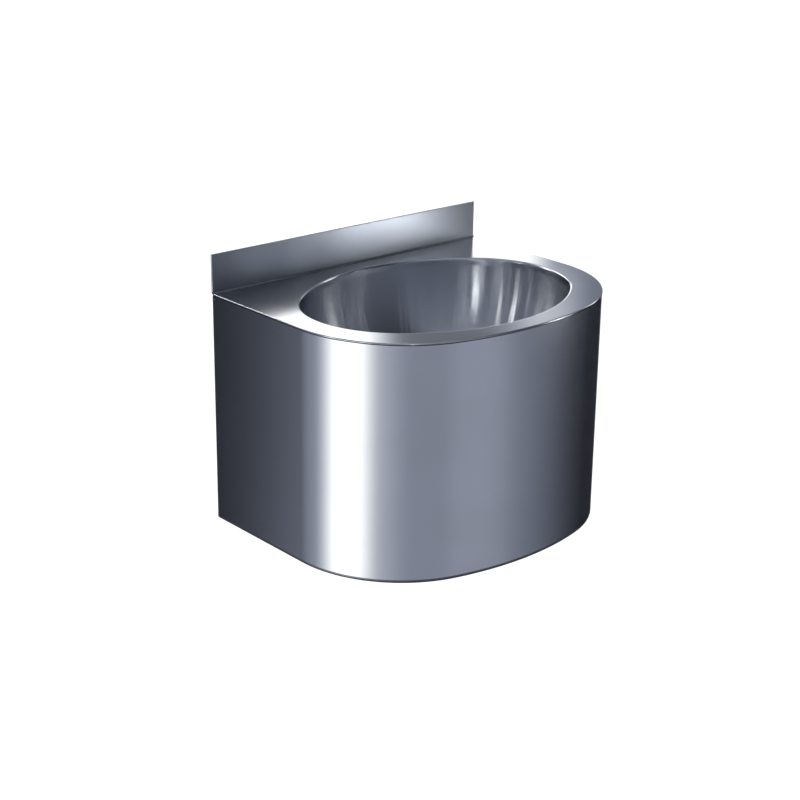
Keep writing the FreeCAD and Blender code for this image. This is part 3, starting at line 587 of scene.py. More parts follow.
# ---------------------------------------------------------------- apron
def apron_columns(sheet):
    """Columns of the apron: right wall flange, its fold, the D-shaped skirt, the left fold and flange."""
    setback = HALF_WIDTH - APRON_HALF_WIDTH
    fold = sheet.apron_bend
    flange_end = APRON_HALF_WIDTH - sheet.wall_flange
    fold_x = APRON_HALF_WIDTH - fold
    body = plan_columns(sheet, setback, -fold, WallColumn)
    columns = [WallColumn(Vector((flange_end, -fold, 0)), fold, QUARTER)]
    for turn in steps(QUARTER, 0.0, sheet.bend_steps):
        columns.append(WallColumn(Vector((fold_x, -fold, 0)), fold, turn))
    columns += body[1:-1]
    for turn in steps(-math.pi, -math.pi - QUARTER, sheet.bend_steps):
        columns.append(WallColumn(Vector((-fold_x, -fold, 0)), fold, turn))
    columns.append(WallColumn(Vector((-flange_end, -fold, 0)), fold, -math.pi - QUARTER))
    return columns


def apron_skin(skin, sheet):
    """The apron's two faces, its foot, the seam's groove along its top and its drilled wall flanges."""
    columns = apron_columns(sheet)
    fold, back, groove = sheet.apron_bend, sheet.apron_return, sheet.seam_depth
    top, foot = SKIRT_BOTTOM, APRON_BOTTOM
    ledge = top - sheet.seam_height
    centre = (fold, foot + fold)
    flanges = (0, len(columns) - 2)
    outer_wall = wall(0.0, ledge, foot + fold + sheet.foot_band, 1)
    foot_band = wall(0.0, foot + fold + sheet.foot_band, foot + fold, 1)
    inner_wall = wall(SHEET, foot + fold, top, -1)
    foot_sections = [
        bend(centre, fold, 0.0, -QUARTER, sheet.bend_steps, 1),
        flat(fold, back, foot, -1),
        wall(back, foot, foot + SHEET, -1),
        flat(back, fold, foot + SHEET, 1),
        bend(centre, fold - SHEET, -QUARTER, 0.0, sheet.bend_steps, -1),
    ]
    seam_sections = [flat(groove, 0.0, ledge, 1), wall(groove, top, ledge, 1)]
    rim = flat(SHEET, groove, top, 1)
    for section in (outer_wall, inner_wall):
        skin.grid(strip(columns, section), skip=flanges)
    for section in foot_sections[1:] + [rim]:
        skin.grid(strip(columns, section))
    # The band above the foot's fold and the fold itself are painted dark grey as shade along the bottom edge.
    skin.finish = FOOT_SHADE
    skin.grid(strip(columns, foot_band), skip=flanges)
    skin.grid(strip(columns, foot_sections[0]))
    # The seam's groove is painted near-black as the shade under the deck's edge.
    skin.finish = SEAM_SHADE
    for section in seam_sections:
        skin.grid(strip(columns, section))
    skin.finish = POLISHED
    for side, pair in ((1, columns[:2]), (-1, columns[-2:])):
        drilled_flange(skin, sheet, side, pair, ledge)
    outline = list(outer_wall)
    for section in [foot_band] + foot_sections + [inner_wall, rim] + seam_sections[::-1]:
        outline += section
    for column, normal in ((columns[0], -RIGHT), (columns[-1], RIGHT)):
        end_cap(skin, column, outline, normal)


def drilled_flange(skin, sheet, side, pair, ledge):
    """Both faces of a wall flange, between its two columns, and the fixing hole through them."""
    low = APRON_BOTTOM + sheet.apron_bend
    hole = Vector((side * (HALF_WIDTH - sheet.fixing_inset), 0, APRON_BOTTOM + sheet.fixing_height))
    rims = []
    for inset, high, normal in ((0.0, ledge, BACK), (SHEET, SKIRT_BOTTOM, FRONT)):
        corners = [pair[0].at(inset, high), pair[1].at(inset, high), pair[1].at(inset, low),
                   pair[0].at(inset, low)]
        if normal == BACK:
            corners[2:2] = [pair[1].at(inset, low + sheet.foot_band)]
            corners.append(pair[0].at(inset, low + sheet.foot_band))
        ring = []
        for turn in steps(0.0, 2 * math.pi, 3 * sheet.bend_steps)[:-1]:
            around = Vector((math.cos(turn), 0, math.sin(turn)))
            ring.append((Vector((hole.x, -inset, hole.z)) + around * sheet.fixing_hole, -around))
        skin.plate([corners, [place for place, _ in ring]], normal)
        rims.append(ring)
    skin.grid(rims, closed=True)


def end_cap(skin, column, outline, normal):
    """Closes the apron's sheet at one end of its run along the wall."""
    loop = []
    for inset, z, _, _ in outline:
        place = column.at(inset, z)
        if not loop or (place - loop[-1]).length > WELD:
            loop.append(place)
    if (loop[0] - loop[-1]).length < WELD:
        loop.pop()
    skin.plate([loop], normal)


# ---------------------------------------------------------------- shader trees
class Wire:
    """An output socket with arithmetic: an expression on it adds the Math nodes."""

    def __init__(self, shader, socket):
        self.shader = shader
        self.socket = socket

    def maths(self, operation, *values, clamp=False):
        settings = {"operation": operation, "use_clamp": clamp}
        return self.shader.add("ShaderNodeMath", settings, dict(enumerate(values)))

    def __add__(self, other):
        return self.maths("ADD", self, other)

    def __sub__(self, other):
        return self.maths("SUBTRACT", self, other)

    def __rsub__(self, other):
        return self.maths("SUBTRACT", other, self)

    def __mul__(self, other):
        return self.maths("MULTIPLY", self, other)

    def __truediv__(self, other):
        return self.maths("DIVIDE", self, other)

    __radd__ = __add__
    __rmul__ = __mul__

    def smooth(self, low, high):
        """0 below low, 1 above high and a smooth step between them."""
        return self.shader.add("ShaderNodeMapRange", {"interpolation_type": "SMOOTHSTEP", "clamp": True},
                               {0: self, 1: low, 2: high, 3: 0.0, 4: 1.0})


class Tree:
    """Adds nodes to a node tree."""

    def __init__(self, tree):
        self.tree = tree
        self.tree.nodes.clear()

    def node(self, kind, settings=None, sockets=None):
        made = self.tree.nodes.new(kind)
        for name, value in (settings or {}).items():
            setattr(made, name, value)
        for key, value in (sockets or {}).items():
            if isinstance(value, Wire):
                self.tree.links.new(value.socket, made.inputs[key])
            else:
                made.inputs[key].default_value = value
        return made

    def add(self, kind, settings=None, sockets=None, output=0):
        return Wire(self, self.node(kind, settings, sockets).outputs[output])


class Shader(Tree):
    """A material's or a world's tree."""

    def __init__(self, owner):
        owner.use_nodes = True
        super().__init__(owner.node_tree)

    def noise(self, place, scale, detail=2.0, roughness=0.5):
        return self.add("ShaderNodeTexNoise", {}, {"Vector": place, "Scale": scale, "Detail": detail,
                                                   "Roughness": roughness})

    def stretched(self, place, scale):
        return self.add("ShaderNodeMapping", {}, {"Vector": place, "Scale": scale})

    def mix_colour(self, factor, first, second):
        return self.add("ShaderNodeMix", {"data_type": "RGBA"}, {0: factor, 6: first, 7: second}, output=2)

    def bump(self, height, distance, strength=1.0):
        return self.add("ShaderNodeBump", {}, {"Height": height, "Distance": distance, "Strength": strength})

    def surface(self, sockets):
        principled = self.add("ShaderNodeBsdfPrincipled", {}, sockets)
        self.node("ShaderNodeOutputMaterial", {}, {"Surface": principled})


def rgba(rgb, level=1.0):
    """A socket's colour, made darker or lighter by level."""
    return (rgb[0] * level, rgb[1] * level, rgb[2] * level, 1.0)


def new_material(name):
    """A material, its tree and the place on the piece."""
    material = bpy.data.materials.new(name)
    shader = Shader(material)
    return material, shader, shader.add("ShaderNodeTexCoord", output="Object")


def grained_steel(name, rgb, roughness, grain, stretch, brushed=None):
    """Satin stainless steel: a fine polishing grain that runs across the stretched axes."""
    material, shader, place = new_material(name)
    lines = shader.noise(shader.stretched(place, stretch), scale=1.0, detail=3.0, roughness=0.6)
    clouds = shader.noise(place, scale=9.0)
    smudge = clouds.smooth(0.35, 0.75)
    fine = lines - 0.5
    shader.surface({
        "Base Color": shader.mix_colour(smudge, rgba(rgb), rgba(rgb, level=0.955)),
        "Metallic": 1.0,
        "Roughness": fine * (grain * 1.2) + smudge * 0.02 + roughness,
        "Normal": shader.bump(lines, distance=grain * 2e-4, strength=0.5),
        **(brushed or {}),
    })
    return material


def bowl_steel(name, rgb, roughness, brushing, grain):
    """Pressed and polished steel: faint drawn ripples that run down the wall from the rim."""
    material, shader, place = new_material(name)
    axes = shader.node("ShaderNodeSeparateXYZ", {}, {0: place})
    across, along, height = (Wire(shader, socket) for socket in axes.outputs)
    turn = across.maths("ARCTAN2", along - BOWL_Y, across)
    ring = shader.add("ShaderNodeCombineXYZ", {}, {0: turn * 4.0, 1: height * 3.0, 2: 0.0})
    ripples = shader.noise(ring, scale=2.4)
    drag = shader.noise(shader.stretched(place, GRAIN_ROUND_BOWL), scale=1.0, detail=3.0, roughness=0.6)
    shader.surface({
        "Base Color": shader.mix_colour(ripples.smooth(0.4, 0.7), rgba(rgb), rgba(rgb, level=0.95)),
        "Metallic": 1.0,
        "Roughness": (drag - 0.5) * grain + roughness,
        "Normal": shader.bump(ripples, distance=4e-4),
        "Anisotropic": brushing,
        "Anisotropic Rotation": BRUSHED_UPRIGHT,
    })
    return material


def plain_steel(name, rgb):
    """Mill-finished or turned steel with light blotches; the same recipe carries the darker greys painted as
    shade in the fold, the seam and along the foot.
    """
    material, shader, place = new_material(name)
    blotches = shader.noise(place, scale=60.0, detail=4.0, roughness=0.6)
    shader.surface({
        "Base Color": shader.mix_colour(blotches.smooth(0.35, 0.7), rgba(rgb), rgba(rgb, level=0.86)),
        "Metallic": 1.0,
        "Roughness": blotches * 0.14 + ROUGHNESS[name],
        "Normal": shader.bump(shader.noise(place, scale=900.0), distance=1e-5),
    })
    return material


def moulded_plastic(name, rgb):
    """Moulded plastic with a faint flow mottle and a fine skin."""
    material, shader, place = new_material(name)
    mottle = shader.noise(place, scale=25.0, detail=3.0)
    shader.surface({
        "Base Color": shader.mix_colour(mottle.smooth(0.3, 0.8), rgba(rgb), rgba(rgb, level=0.93)),
        "Roughness": mottle * 0.12 + 0.27,
        "Normal": shader.bump(shader.noise(place, scale=1400.0), distance=1.2e-5),
        "Specular IOR Level": 0.5,
    })
    return material


def seal_rubber(name, rgb):
    """Matt black rubber with a dusty bloom."""
    material, shader, place = new_material(name)
    bloom = shader.noise(place, scale=120.0, detail=3.0)
    shader.surface({
        "Base Color": shader.mix_colour(bloom.smooth(0.4, 0.8), rgba(rgb), rgba(rgb, level=2.2)),
        "Roughness": bloom * 0.2 + 0.55,
    })
    return material


# ---------------------------------------------------------------- repeated details
THREAD_STEPS, CREST_SIDES = 48, 6
WELD_STEPS, WELD_RINGS = 16, 8


class Recipe(Tree):
    """A Geometry Nodes tree with named inputs that ends in one realized shape with its material."""

    def __init__(self, name, inputs):
        super().__init__(bpy.data.node_groups.new(name, "GeometryNodeTree"))
        self.sockets = {}
        self.tree.interface.new_socket("Geometry", in_out="OUTPUT", socket_type="NodeSocketGeometry")
        for label, kind in inputs.items():
            socket = self.tree.interface.new_socket(label, in_out="INPUT", socket_type="NodeSocket" + kind)
            self.sockets[label] = socket.identifier
        self.sockets["Material"] = self.tree.interface.new_socket(
            "Material", in_out="INPUT", socket_type="NodeSocketMaterial").identifier
        self.entry = self.node("NodeGroupInput")

    def value(self, label):
        return Wire(self, self.entry.outputs[label])

    def end(self, instances):
        solid = self.add("GeometryNodeRealizeInstances", {}, {"Geometry": instances})
        painted = self.add("GeometryNodeSetMaterial", {}, {"Geometry": solid,
                                                           "Material": self.value("Material")})
        self.node("NodeGroupOutput", {}, {"Geometry": painted})

    def cook(self, name, values):
        """Runs the recipe with the given inputs and returns a plain mesh object at the origin."""
        host = add_object(name + "_recipe", bpy.data.meshes.new(name + "_recipe"))
        modifier = host.modifiers.new("recipe", "NODES")
        modifier.node_group = self.tree
        for label, value in values.items():
            modifier[self.sockets[label]] = value
        bpy.context.view_layer.update()
        cooked = host.evaluated_get(bpy.context.evaluated_depsgraph_get())
        mesh = bpy.data.meshes.new_from_object(cooked)
        bpy.data.objects.remove(host)
        mesh.name = name
        turn_outwards(mesh)
        return add_object(name, mesh)


def turn_outwards(mesh):
    """Winds every face of closed shapes so that it looks outwards."""
    shape = bmesh.new()
    shape.from_mesh(mesh)
    bmesh.ops.recalc_face_normals(shape, faces=shape.faces)
    shape.to_mesh(mesh)
    shape.free()


def grip_recipe():
    """Upright grip ribs in groups, one group on each flat of a nut that stands round the Z axis."""
    recipe = Recipe("grip_ribs", {"Flats": "Int", "Ribs": "Int", "Spacing": "Float", "Distance": "Float",
                                  "Rib Size": "Vector"})
    spread = (recipe.value("Ribs") - 1) * recipe.value("Spacing") * -0.5
    start = recipe.add("ShaderNodeCombineXYZ", {}, {"X": spread, "Y": recipe.value("Distance") * -1.0})
    stride = recipe.add("ShaderNodeCombineXYZ", {}, {"X": recipe.value("Spacing")})
    row = recipe.add("GeometryNodeMeshLine", {}, {"Count": recipe.value("Ribs"), "Start Location": start,
                                                  "Offset": stride})
    rib = recipe.add("GeometryNodeMeshCube", {}, {"Size": recipe.value("Rib Size")})
    group = recipe.add("GeometryNodeInstanceOnPoints", {}, {"Points": row, "Instance": rib})
    group = recipe.add("GeometryNodeRealizeInstances", {}, {"Geometry": group})
    hub = recipe.add("GeometryNodeMeshLine", {}, {"Count": recipe.value("Flats"), "Offset": (0.0, 0.0, 0.0)})
    turn = recipe.add("GeometryNodeInputIndex") * (2 * math.pi) / recipe.value("Flats")
    facing = recipe.add("ShaderNodeCombineXYZ", {}, {"Z": turn})
    recipe.end(recipe.add("GeometryNodeInstanceOnPoints", {}, {"Points": hub, "Instance": group,
                                                               "Rotation": facing}))
    return recipe


def thread_recipe():
    """Thread crests as rings of one pitch down the Z axis."""
    recipe = Recipe("thread_crests", {"Crests": "Int", "Pitch": "Float", "Radius": "Float", "Crest": "Float"})
    path = recipe.add("GeometryNodeCurvePrimitiveCircle", {}, {"Resolution": THREAD_STEPS,
                                                               "Radius": recipe.value("Radius")})
    crest = recipe.add("GeometryNodeCurvePrimitiveCircle", {}, {"Resolution": CREST_SIDES,
                                                                "Radius": recipe.value("Crest")})
    ring = recipe.add("GeometryNodeCurveToMesh", {}, {"Curve": path, "Profile Curve": crest})
    stride = recipe.add("ShaderNodeCombineXYZ", {}, {"Z": recipe.value("Pitch") * -1.0})
    line = recipe.add("GeometryNodeMeshLine", {}, {"Count": recipe.value("Crests"), "Offset": stride})
    recipe.end(recipe.add("GeometryNodeInstanceOnPoints", {}, {"Points": line, "Instance": ring}))
    return recipe


def weld_recipe():
    """A row of spot welds along X, flattened against a level face."""
    recipe = Recipe("spot_welds", {"Welds": "Int", "Spacing": "Float", "Weld Size": "Vector"})
    spread = (recipe.value("Welds") - 1) * recipe.value("Spacing") * -0.5
    start = recipe.add("ShaderNodeCombineXYZ", {}, {"X": spread})
    stride = recipe.add("ShaderNodeCombineXYZ", {}, {"X": recipe.value("Spacing")})
    row = recipe.add("GeometryNodeMeshLine", {}, {"Count": recipe.value("Welds"), "Start Location": start,
                                                  "Offset": stride})
    ball = recipe.add("GeometryNodeMeshUVSphere", {}, {"Segments": WELD_STEPS, "Rings": WELD_RINGS,
                                                       "Radius": 1.0})
    recipe.end(recipe.add("GeometryNodeInstanceOnPoints", {}, {"Points": row, "Instance": ball,
                                                               "Scale": recipe.value("Weld Size")}))
    return recipe


def place_mesh(piece, where, tilt=0.0):
    """Moves a cooked mesh to its place, after a turn about X that lays its axis along Y."""
    piece.data.transform(Matrix.Translation(where) @ Matrix.Rotation(tilt, 4, "X"))


def dress(node, material):
    """Gives a CAD node's object one material."""
    slots = frame["nodes"][node].data.materials
    slots.clear()
    slots.append(material)


def finish_piece(piece, materials, body, slot, *nodes):
    """Gives a piece its materials and its body and hides the CAD nodes that it stands for; slot is not used.
    """
    for material in materials:
        piece.data.materials.append(material)
    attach(piece, body)
    if nodes:
        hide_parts(*nodes)


# ---------------------------------------------------------------- operators
class MakeDeck(bpy.types.Operator):
    """Build the deck with its rolled rim and the upstand behind it"""
    bl_idname = "sink.make_deck"
    bl_label = "Deck and upstand"

    def execute(self, context):
        scene = context.scene
        finish = scene.sink_finish
        skin = Skin()
        deck_plate(skin, scene.sink_sheet, scene.sink_bowl)
        steel = grained_steel("deck_steel", finish.steel, finish.sheet_roughness, finish.grain / 4,
                              GRAIN_ALONG_WALL)
        # The fold's darker grey is painted shade in the crease between deck and upstand.
        fold = plain_steel("fold_shade_steel", finish.fold)
        finish_piece(skin.make("deck_plate"), [steel, fold], "basin", "sheet_steel", "deck")
        skin = Skin()
        upstand(skin, scene.sink_sheet)
        brushed = {"Anisotropic": finish.upstand_brushing, "Anisotropic Rotation": BRUSHED_UPRIGHT}
        # The upstand's colour carries a painted blue cast of reflected light.
        steel = grained_steel("upstand_steel", finish.upstand, finish.upstand_roughness, finish.grain / 4,
                              GRAIN_ALONG_WALL, brushed)
        finish_piece(skin.make("upstand"), [steel], "basin", "sheet_steel", "deck")
        return {"FINISHED"}


class MakeBowl(bpy.types.Operator):
    """Build the pressed bowl"""
    bl_idname = "sink.make_bowl"
    bl_label = "Bowl"

    def execute(self, context):
        scene = context.scene
        skin = Skin()
        pressed_bowl(skin, scene.sink_sheet, scene.sink_bowl)
        finish = scene.sink_finish
        steel = bowl_steel("bowl_steel", finish.steel, finish.bowl_roughness, finish.bowl_brushing,
                           finish.grain)
        finish_piece(skin.make("bowl_pressing"), [steel], "basin", "bowl_steel", "bowl")
        return {"FINISHED"}


class MakeApron(bpy.types.Operator):
    """Build the apron with its folded flanges"""
    bl_idname = "sink.make_apron"
    bl_label = "Apron"

    def execute(self, context):
        scene = context.scene
        skin = Skin()
        apron_skin(skin, scene.sink_sheet)
        finish = scene.sink_finish
        steel = grained_steel("apron_steel", finish.steel, finish.sheet_roughness, finish.grain,
                              GRAIN_ROUND_APRON)
        # The seam's near-black is painted shade in the groove under the deck's edge.
        seam = plain_steel("seam_shade_steel", finish.seam)
        # The foot's dark grey is painted shade along the apron's bottom edge.
        foot = plain_steel("foot_shade_steel", finish.foot)
        finish_piece(skin.make("apron_skirt"), [steel, seam, foot], "basin", "sheet_steel", "apron")
        return {"FINISHED"}


class MakeTrapDetails(bpy.types.Operator):
    """Add grip ribs, thread crests and spot welds to the fittings"""
    bl_idname = "sink.make_trap_details"
    bl_label = "Ribs, threads and welds"

    def execute(self, context):
        detail = context.scene.sink_detail
        materials = bpy.data.materials
        grip, thread, weld = grip_recipe(), thread_recipe(), weld_recipe()
        for nut, body, tilt in (("trap_inlet_nut", "basin", 0.0), ("trap_cup_nut", "trap_cup_nut", 0.0),
                                ("trap_outlet_nut", "basin", QUARTER)):
            low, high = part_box(nut)
            size = high - low
            tall = size.y if tilt else size.z
            rib = (detail.rib_width, 2 * detail.rib_height, tall - 4 * detail.rib_height)
            piece = grip.cook(nut + "_ribs", {"Flats": detail.nut_flats, "Ribs": detail.ribs_per_flat,
                                              "Spacing": detail.rib_spacing, "Distance": size.x / 2,
                                              "Rib Size": rib, "Material": materials["trap_plastic"]})
            place_mesh(piece, (low + high) / 2, tilt)
            finish_piece(piece, [], body, "trap_plastic")
        crests = {"Crests": detail.tail_crests, "Pitch": detail.thread_pitch, "Radius": detail.thread_radius,
                  "Crest": detail.thread_crest, "Material": materials["waste_steel"]}
        piece = thread.cook("waste_thread", crests)
        above_nut = detail.thread_pitch * (detail.tail_crests - 0.5)
        place_mesh(piece, Vector((0, BOWL_Y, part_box("trap_inlet_nut")[1].z + above_nut)))
        finish_piece(piece, [], "basin", "waste_steel")
        nut_low, nut_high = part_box("trap_outlet_nut")
        crests.update({"Crests": detail.socket_crests, "Material": materials["trap_plastic"]})
        piece = thread.cook("outlet_thread", crests)
        where = Vector((0, nut_low.y - detail.thread_pitch / 2, (nut_low.z + nut_high.z) / 2))
        place_mesh(piece, where, -QUARTER)
        finish_piece(piece, [], "basin", "trap_plastic")
        low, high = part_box("rear_hanger")
        size = (detail.weld_radius, detail.weld_radius, detail.weld_height)
        piece = weld.cook("hanger_welds", {"Welds": detail.welds, "Spacing": detail.weld_spacing,
                                           "Weld Size": size, "Material": materials["bracket_steel"]})
        place_mesh(piece, Vector((0, (low.y + high.y) / 2, high.z - detail.bracket_sheet)))
        finish_piece(piece, [], "basin", "bracket_steel")
        return {"FINISHED"}


class DressFittings(bpy.types.Operator):
    """Give the brackets, waste, trap and seals their finishes"""
    bl_idname = "sink.dress_fittings"
    bl_label = "Fittings"

    def execute(self, context):
        finish = context.scene.sink_finish
        materials = {
            "bracket_steel": plain_steel("bracket_steel", finish.bracket),
            "fastener_steel": plain_steel("fastener_steel", finish.bracket),
            "waste_steel": plain_steel("waste_steel", finish.steel),
            "trap_plastic": moulded_plastic("trap_plastic", finish.plastic),
            "seal_rubber": seal_rubber("seal_rubber", finish.rubber),
        }
        for part in frame["record"]["subparts"]:
            if part["material_slot"] in materials:
                dress(part["node"], materials[part["material_slot"]])
        return {"FINISHED"}


class MakeStage(bpy.types.Operator):
    """Set up the camera, the floor and the studio light"""
    bl_idname = "sink.make_stage"
    bl_label = "Studio"

    def execute(self, context):
        stage = context.scene.sink_stage
        make_camera(context.scene, stage)
        make_floor(stage)
        make_studio(context.scene, stage)
        context.scene.view_settings.view_transform = "Standard"
        return {"FINISHED"}


class SinkPanel(bpy.types.Panel):
    """Lists the sink's settings and build steps"""
    bl_idname = "VIEW3D_PT_sink"
    bl_label = "Hand wash sink"
    bl_space_type = "VIEW_3D"
    bl_region_type = "UI"
    bl_category = "Sink"

    def draw(self, context):
        for group, classes in ((context.scene.sink_sheet, (MakeDeck, MakeApron)),
                               (context.scene.sink_bowl, (MakeBowl,)),
                               (context.scene.sink_finish, (DressFittings,)),
                               (context.scene.sink_detail, (MakeTrapDetails,)),
                               (context.scene.sink_stage, (MakeStage,))):
            box = self.layout.box()
            for name in group.bl_rna.properties.keys():
                if name not in ("rna_type", "name"):
                    box.prop(group, name)
            for operator in classes:
                box.operator(operator.bl_idname)


# ---------------------------------------------------------------- stage
# The point that the camera turns about, and its step aside and down that places the sink in the frame.
CAMERA_TARGET = Vector((0, -0.2025, -0.088))
CAMERA_ASIDE, CAMERA_DOWN = 0.0634, 0.0087
SENSOR_WIDTH = 36.0
WHITE = (1.0, 1.0, 1.0, 1.0)
FLOOR_HALF_SIZE = 30.0
FLOOR_GLOW = 0.25


def make_camera(scene, stage):
    """Camera at the photograph's angle."""
    ahead = Vector((math.sin(stage.yaw) * math.cos(stage.pitch),
                    math.cos(stage.yaw) * math.cos(stage.pitch), -math.sin(stage.pitch)))
    level = Vector((math.cos(stage.yaw), -math.sin(stage.yaw), 0))
    above = level.cross(ahead)
    right = level * math.cos(stage.roll) + above * math.sin(stage.roll)
    up = above * math.cos(stage.roll) - level * math.sin(stage.roll)
    place = CAMERA_TARGET - ahead * stage.distance - right * CAMERA_ASIDE - up * CAMERA_DOWN
    data = bpy.data.cameras.new("camera")
    data.sensor_width = SENSOR_WIDTH
    data.lens = stage.lens * 1000
    data.clip_start = 0.05
    camera = bpy.data.objects.new("camera", data)
    camera.matrix_world = Matrix.Translation(place) @ Matrix((right, up, -ahead)).transposed().to_4x4()
    scene.collection.objects.link(camera)
    scene.camera = camera


def make_floor(stage):
    """Wide pale floor well under the hung sink; seen from below or in a reflection it is clear."""
    size, z = FLOOR_HALF_SIZE, APRON_BOTTOM - stage.floor_drop
    mesh = bpy.data.meshes.new("floor")
    corners = [(-size, -size, z), (size, -size, z), (size, size, z), (-size, size, z)]
    mesh.from_pydata(corners, [], [(0, 1, 2, 3)])
    floor = add_object("floor", mesh)
    material = bpy.data.materials.new("floor")
    shader = Shader(material)
    path = shader.node("ShaderNodeLightPath")
    seen = Wire(shader, path.outputs["Is Camera Ray"])
    glossy = Wire(shader, path.outputs["Is Glossy Ray"])
    under = shader.add("ShaderNodeNewGeometry", output="Backfacing")
    paint = shader.add("ShaderNodeBsdfDiffuse", {}, {"Color": (0.9, 0.9, 0.9, 1.0)})
    glow = shader.add("ShaderNodeEmission", {}, {"Color": WHITE, "Strength": seen * FLOOR_GLOW})
    lit = shader.add("ShaderNodeAddShader", {}, {0: paint, 1: glow})
    clear = shader.add("ShaderNodeBsdfTransparent")
    hidden = under.maths("MAXIMUM", under, glossy)
    surface = shader.add("ShaderNodeMixShader", {}, {0: hidden, 1: lit, 2: clear})
    shader.node("ShaderNodeOutputMaterial", {}, {"Surface": surface})
    mesh.materials.append(material)


# Tint of the dome's dim parts, and the level from which its light is white.
DIM_TINT = (0.88, 0.955, 1.21, 1.0)
WHITE_FROM = 1.3

# The grey room: its darkest level, and (elevation from, to, level) of its walls, its foot and its ceiling.
ROOM_DARK = 0.03
ROOM_WALLS = (0.0, 12.0, 0.22)
ROOM_FOOT = (-46.0, -38.0, 0.08)
ROOM_CEILING = (62.0, 78.0, 0.3)

# Soft panels of the studio, each (azimuth from, to, soft edges before and after; elevation from, to, soft
# edges below and above; level), in degrees as seen from the dome's middle. Azimuth 0 is straight in front
# of the sink and +90 its left-hand side. A level under 0 is a black flag.
PANELS = (
    (82, 89, 24, 27, -34, -4, 5, 16, 1.3),
    (82, 89, 50, 18, -34, -4, 5, 16, 0.5),
    (-12, 116, 63, 25, -34, -2, 5, 14, 0.34),
    (-20, -8, 12, 22, -34, -2, 8, 14, 0.07),
    (-178, -148.5, 8, 6.5, 23, 50, 5, 12, 2.0),
    (-140, -128, 8, 5, 4, 20, 6, 6, 1.8),
    (-124.5, -123, 4, 5, 24, 30, 4, 5, 0.6),
    (-145, -131, 3, 3, 27, 40, 3, 5, -0.14),
    (-48, -46, 9, 6, 1.5, 7, 5, 4, 15.0),
    (-78, -24, 8, 10, 12, 55, 8, 10, -0.22),
    (153.5, 156.5, 1.5, 1.5, 22, 42, 3, 6, 10.0),
    (35.5, 36.5, 1.6, 1.6, 14, 20, 3, 5, 12.0),
    (72, 74, 3, 3, 20, 32, 3, 4, 2.6),
    (98, 101, 3, 3, 20, 32, 3, 4, 4.0),
    (-84, -80, 3, 3, 20, 32, 4, 5, 6.0),
    (-165, -125, 10, 15, -34, -4, 8, 12, 0.9),
    (160, 180, 12, 12, -34, -4, 8, 12, 0.6),
    (-130, -114, 12, 8, -34, -4, 5, 12, 0.5),
)


def studio_level(place, radius):
    """Light of the studio dome at a place on it: a grey room with soft panels."""
    shader = place.shader
    axes = shader.node("ShaderNodeSeparateXYZ", {}, {0: place})
    x, y, z = (Wire(shader, socket) for socket in axes.outputs)
    rise = (z / radius).maths("ARCSINE", z / radius)
    azimuth = x.maths("ARCTAN2", x * -1.0, y * -1.0)
    walls, foot, ceiling = (rise.smooth(math.radians(low), math.radians(high))
                            for low, high, _ in (ROOM_WALLS, ROOM_FOOT, ROOM_CEILING))
    level = walls * ROOM_WALLS[2] + ROOM_DARK
    level = level + (1 - foot) * ROOM_FOOT[2]
    level = level + ceiling * ROOM_CEILING[2]
    for start, end, before, after, low, high, below, above, strength in PANELS:
        middle = math.radians((start + end) / 2)
        half = math.radians(end - start) / 2
        turn = azimuth.maths("WRAP", azimuth - middle, math.pi, -math.pi)
        left = turn.smooth(-half - math.radians(before), -half)
        right = 1 - turn.smooth(half, half + math.radians(after))
        foot = rise.smooth(math.radians(low - below), math.radians(low))
        head = 1 - rise.smooth(math.radians(high), math.radians(high + above))
        level = level + left * right * foot * head * strength
    return level


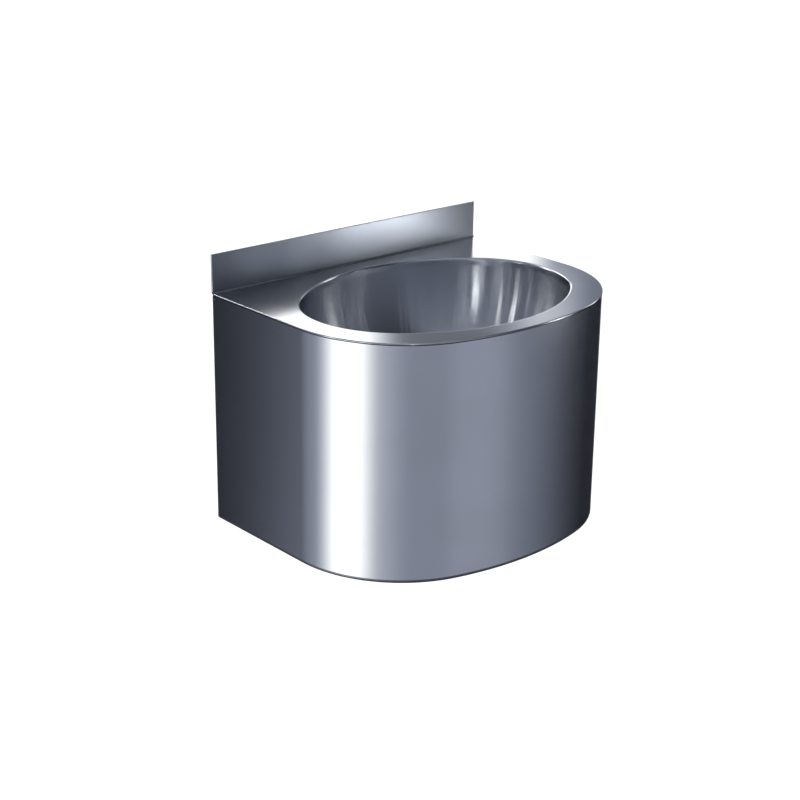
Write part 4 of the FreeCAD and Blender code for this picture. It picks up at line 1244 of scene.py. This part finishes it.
def make_dome(stage):
    """Studio dome round the sink: only the steel's reflections see it."""
    radius = stage.dome_radius
    mesh = bpy.data.meshes.new("studio_dome")
    rings, around = 32, 64
    places, faces = [], []
    for ring in range(rings + 1):
        tilt = math.pi * ring / rings
        for number in range(around):
            turn = 2 * math.pi * number / around
            places.append((radius * math.sin(tilt) * math.cos(turn),
                           radius * math.sin(tilt) * math.sin(turn), radius * math.cos(tilt)))
    for ring in range(rings):
        for number in range(around):
            following = (number + 1) % around
            first, second = ring * around, (ring + 1) * around
            faces.append((first + number, first + following, second + following, second + number))
    mesh.from_pydata(places, [], faces)
    dome = add_object("studio_dome", mesh)
    dome.location = (0, -DEPTH / 2, (UPSTAND_TOP + APRON_BOTTOM) / 2)
    for ray in ("camera", "diffuse", "transmission", "volume_scatter", "shadow"):
        setattr(dome, "visible_" + ray, False)
    material, shader, place = new_material("studio_dome")
    level = studio_level(place, radius)
    tint = shader.mix_colour(level.smooth(0.0, WHITE_FROM), DIM_TINT, WHITE)
    glow = shader.add("ShaderNodeEmission", {}, {"Color": tint, "Strength": level})
    shader.node("ShaderNodeOutputMaterial", {}, {"Surface": glow})
    material.cycles.emission_sampling = "NONE"
    mesh.materials.append(material)


def make_studio(scene, stage):
    """World: white to the camera and even light on matt surfaces. The dome gives the reflections."""
    world = bpy.data.worlds.new("studio")
    scene.world = world
    shader = Shader(world)
    plain = shader.add("ShaderNodeBackground", {}, {"Color": WHITE, "Strength": 1.0})
    shader.node("ShaderNodeOutputWorld", {}, {"Surface": plain})
    make_dome(stage)


GROUPS = {"sink_sheet": SinkSheetSettings, "sink_bowl": SinkBowlSettings, "sink_finish": SinkFinishSettings,
          "sink_detail": SinkDetailSettings, "sink_stage": SinkStageSettings}
CLASSES = (MakeDeck, MakeBowl, MakeApron, DressFittings, MakeTrapDetails, MakeStage, SinkPanel)


def register():
    for name, group in GROUPS.items():
        bpy.utils.register_class(group)
        setattr(bpy.types.Scene, name, bpy.props.PointerProperty(type=group))
    for item in CLASSES:
        bpy.utils.register_class(item)


def unregister():
    for item in reversed(CLASSES):
        bpy.utils.unregister_class(item)
    for name, group in GROUPS.items():
        delattr(bpy.types.Scene, name)
        bpy.utils.unregister_class(group)


def main():
    register()
    bpy.ops.sink.make_deck()
    bpy.ops.sink.make_bowl()
    bpy.ops.sink.make_apron()
    bpy.ops.sink.dress_fittings()
    bpy.ops.sink.make_trap_details()
    bpy.ops.sink.make_stage()


if __name__ == "__main__":
    main()
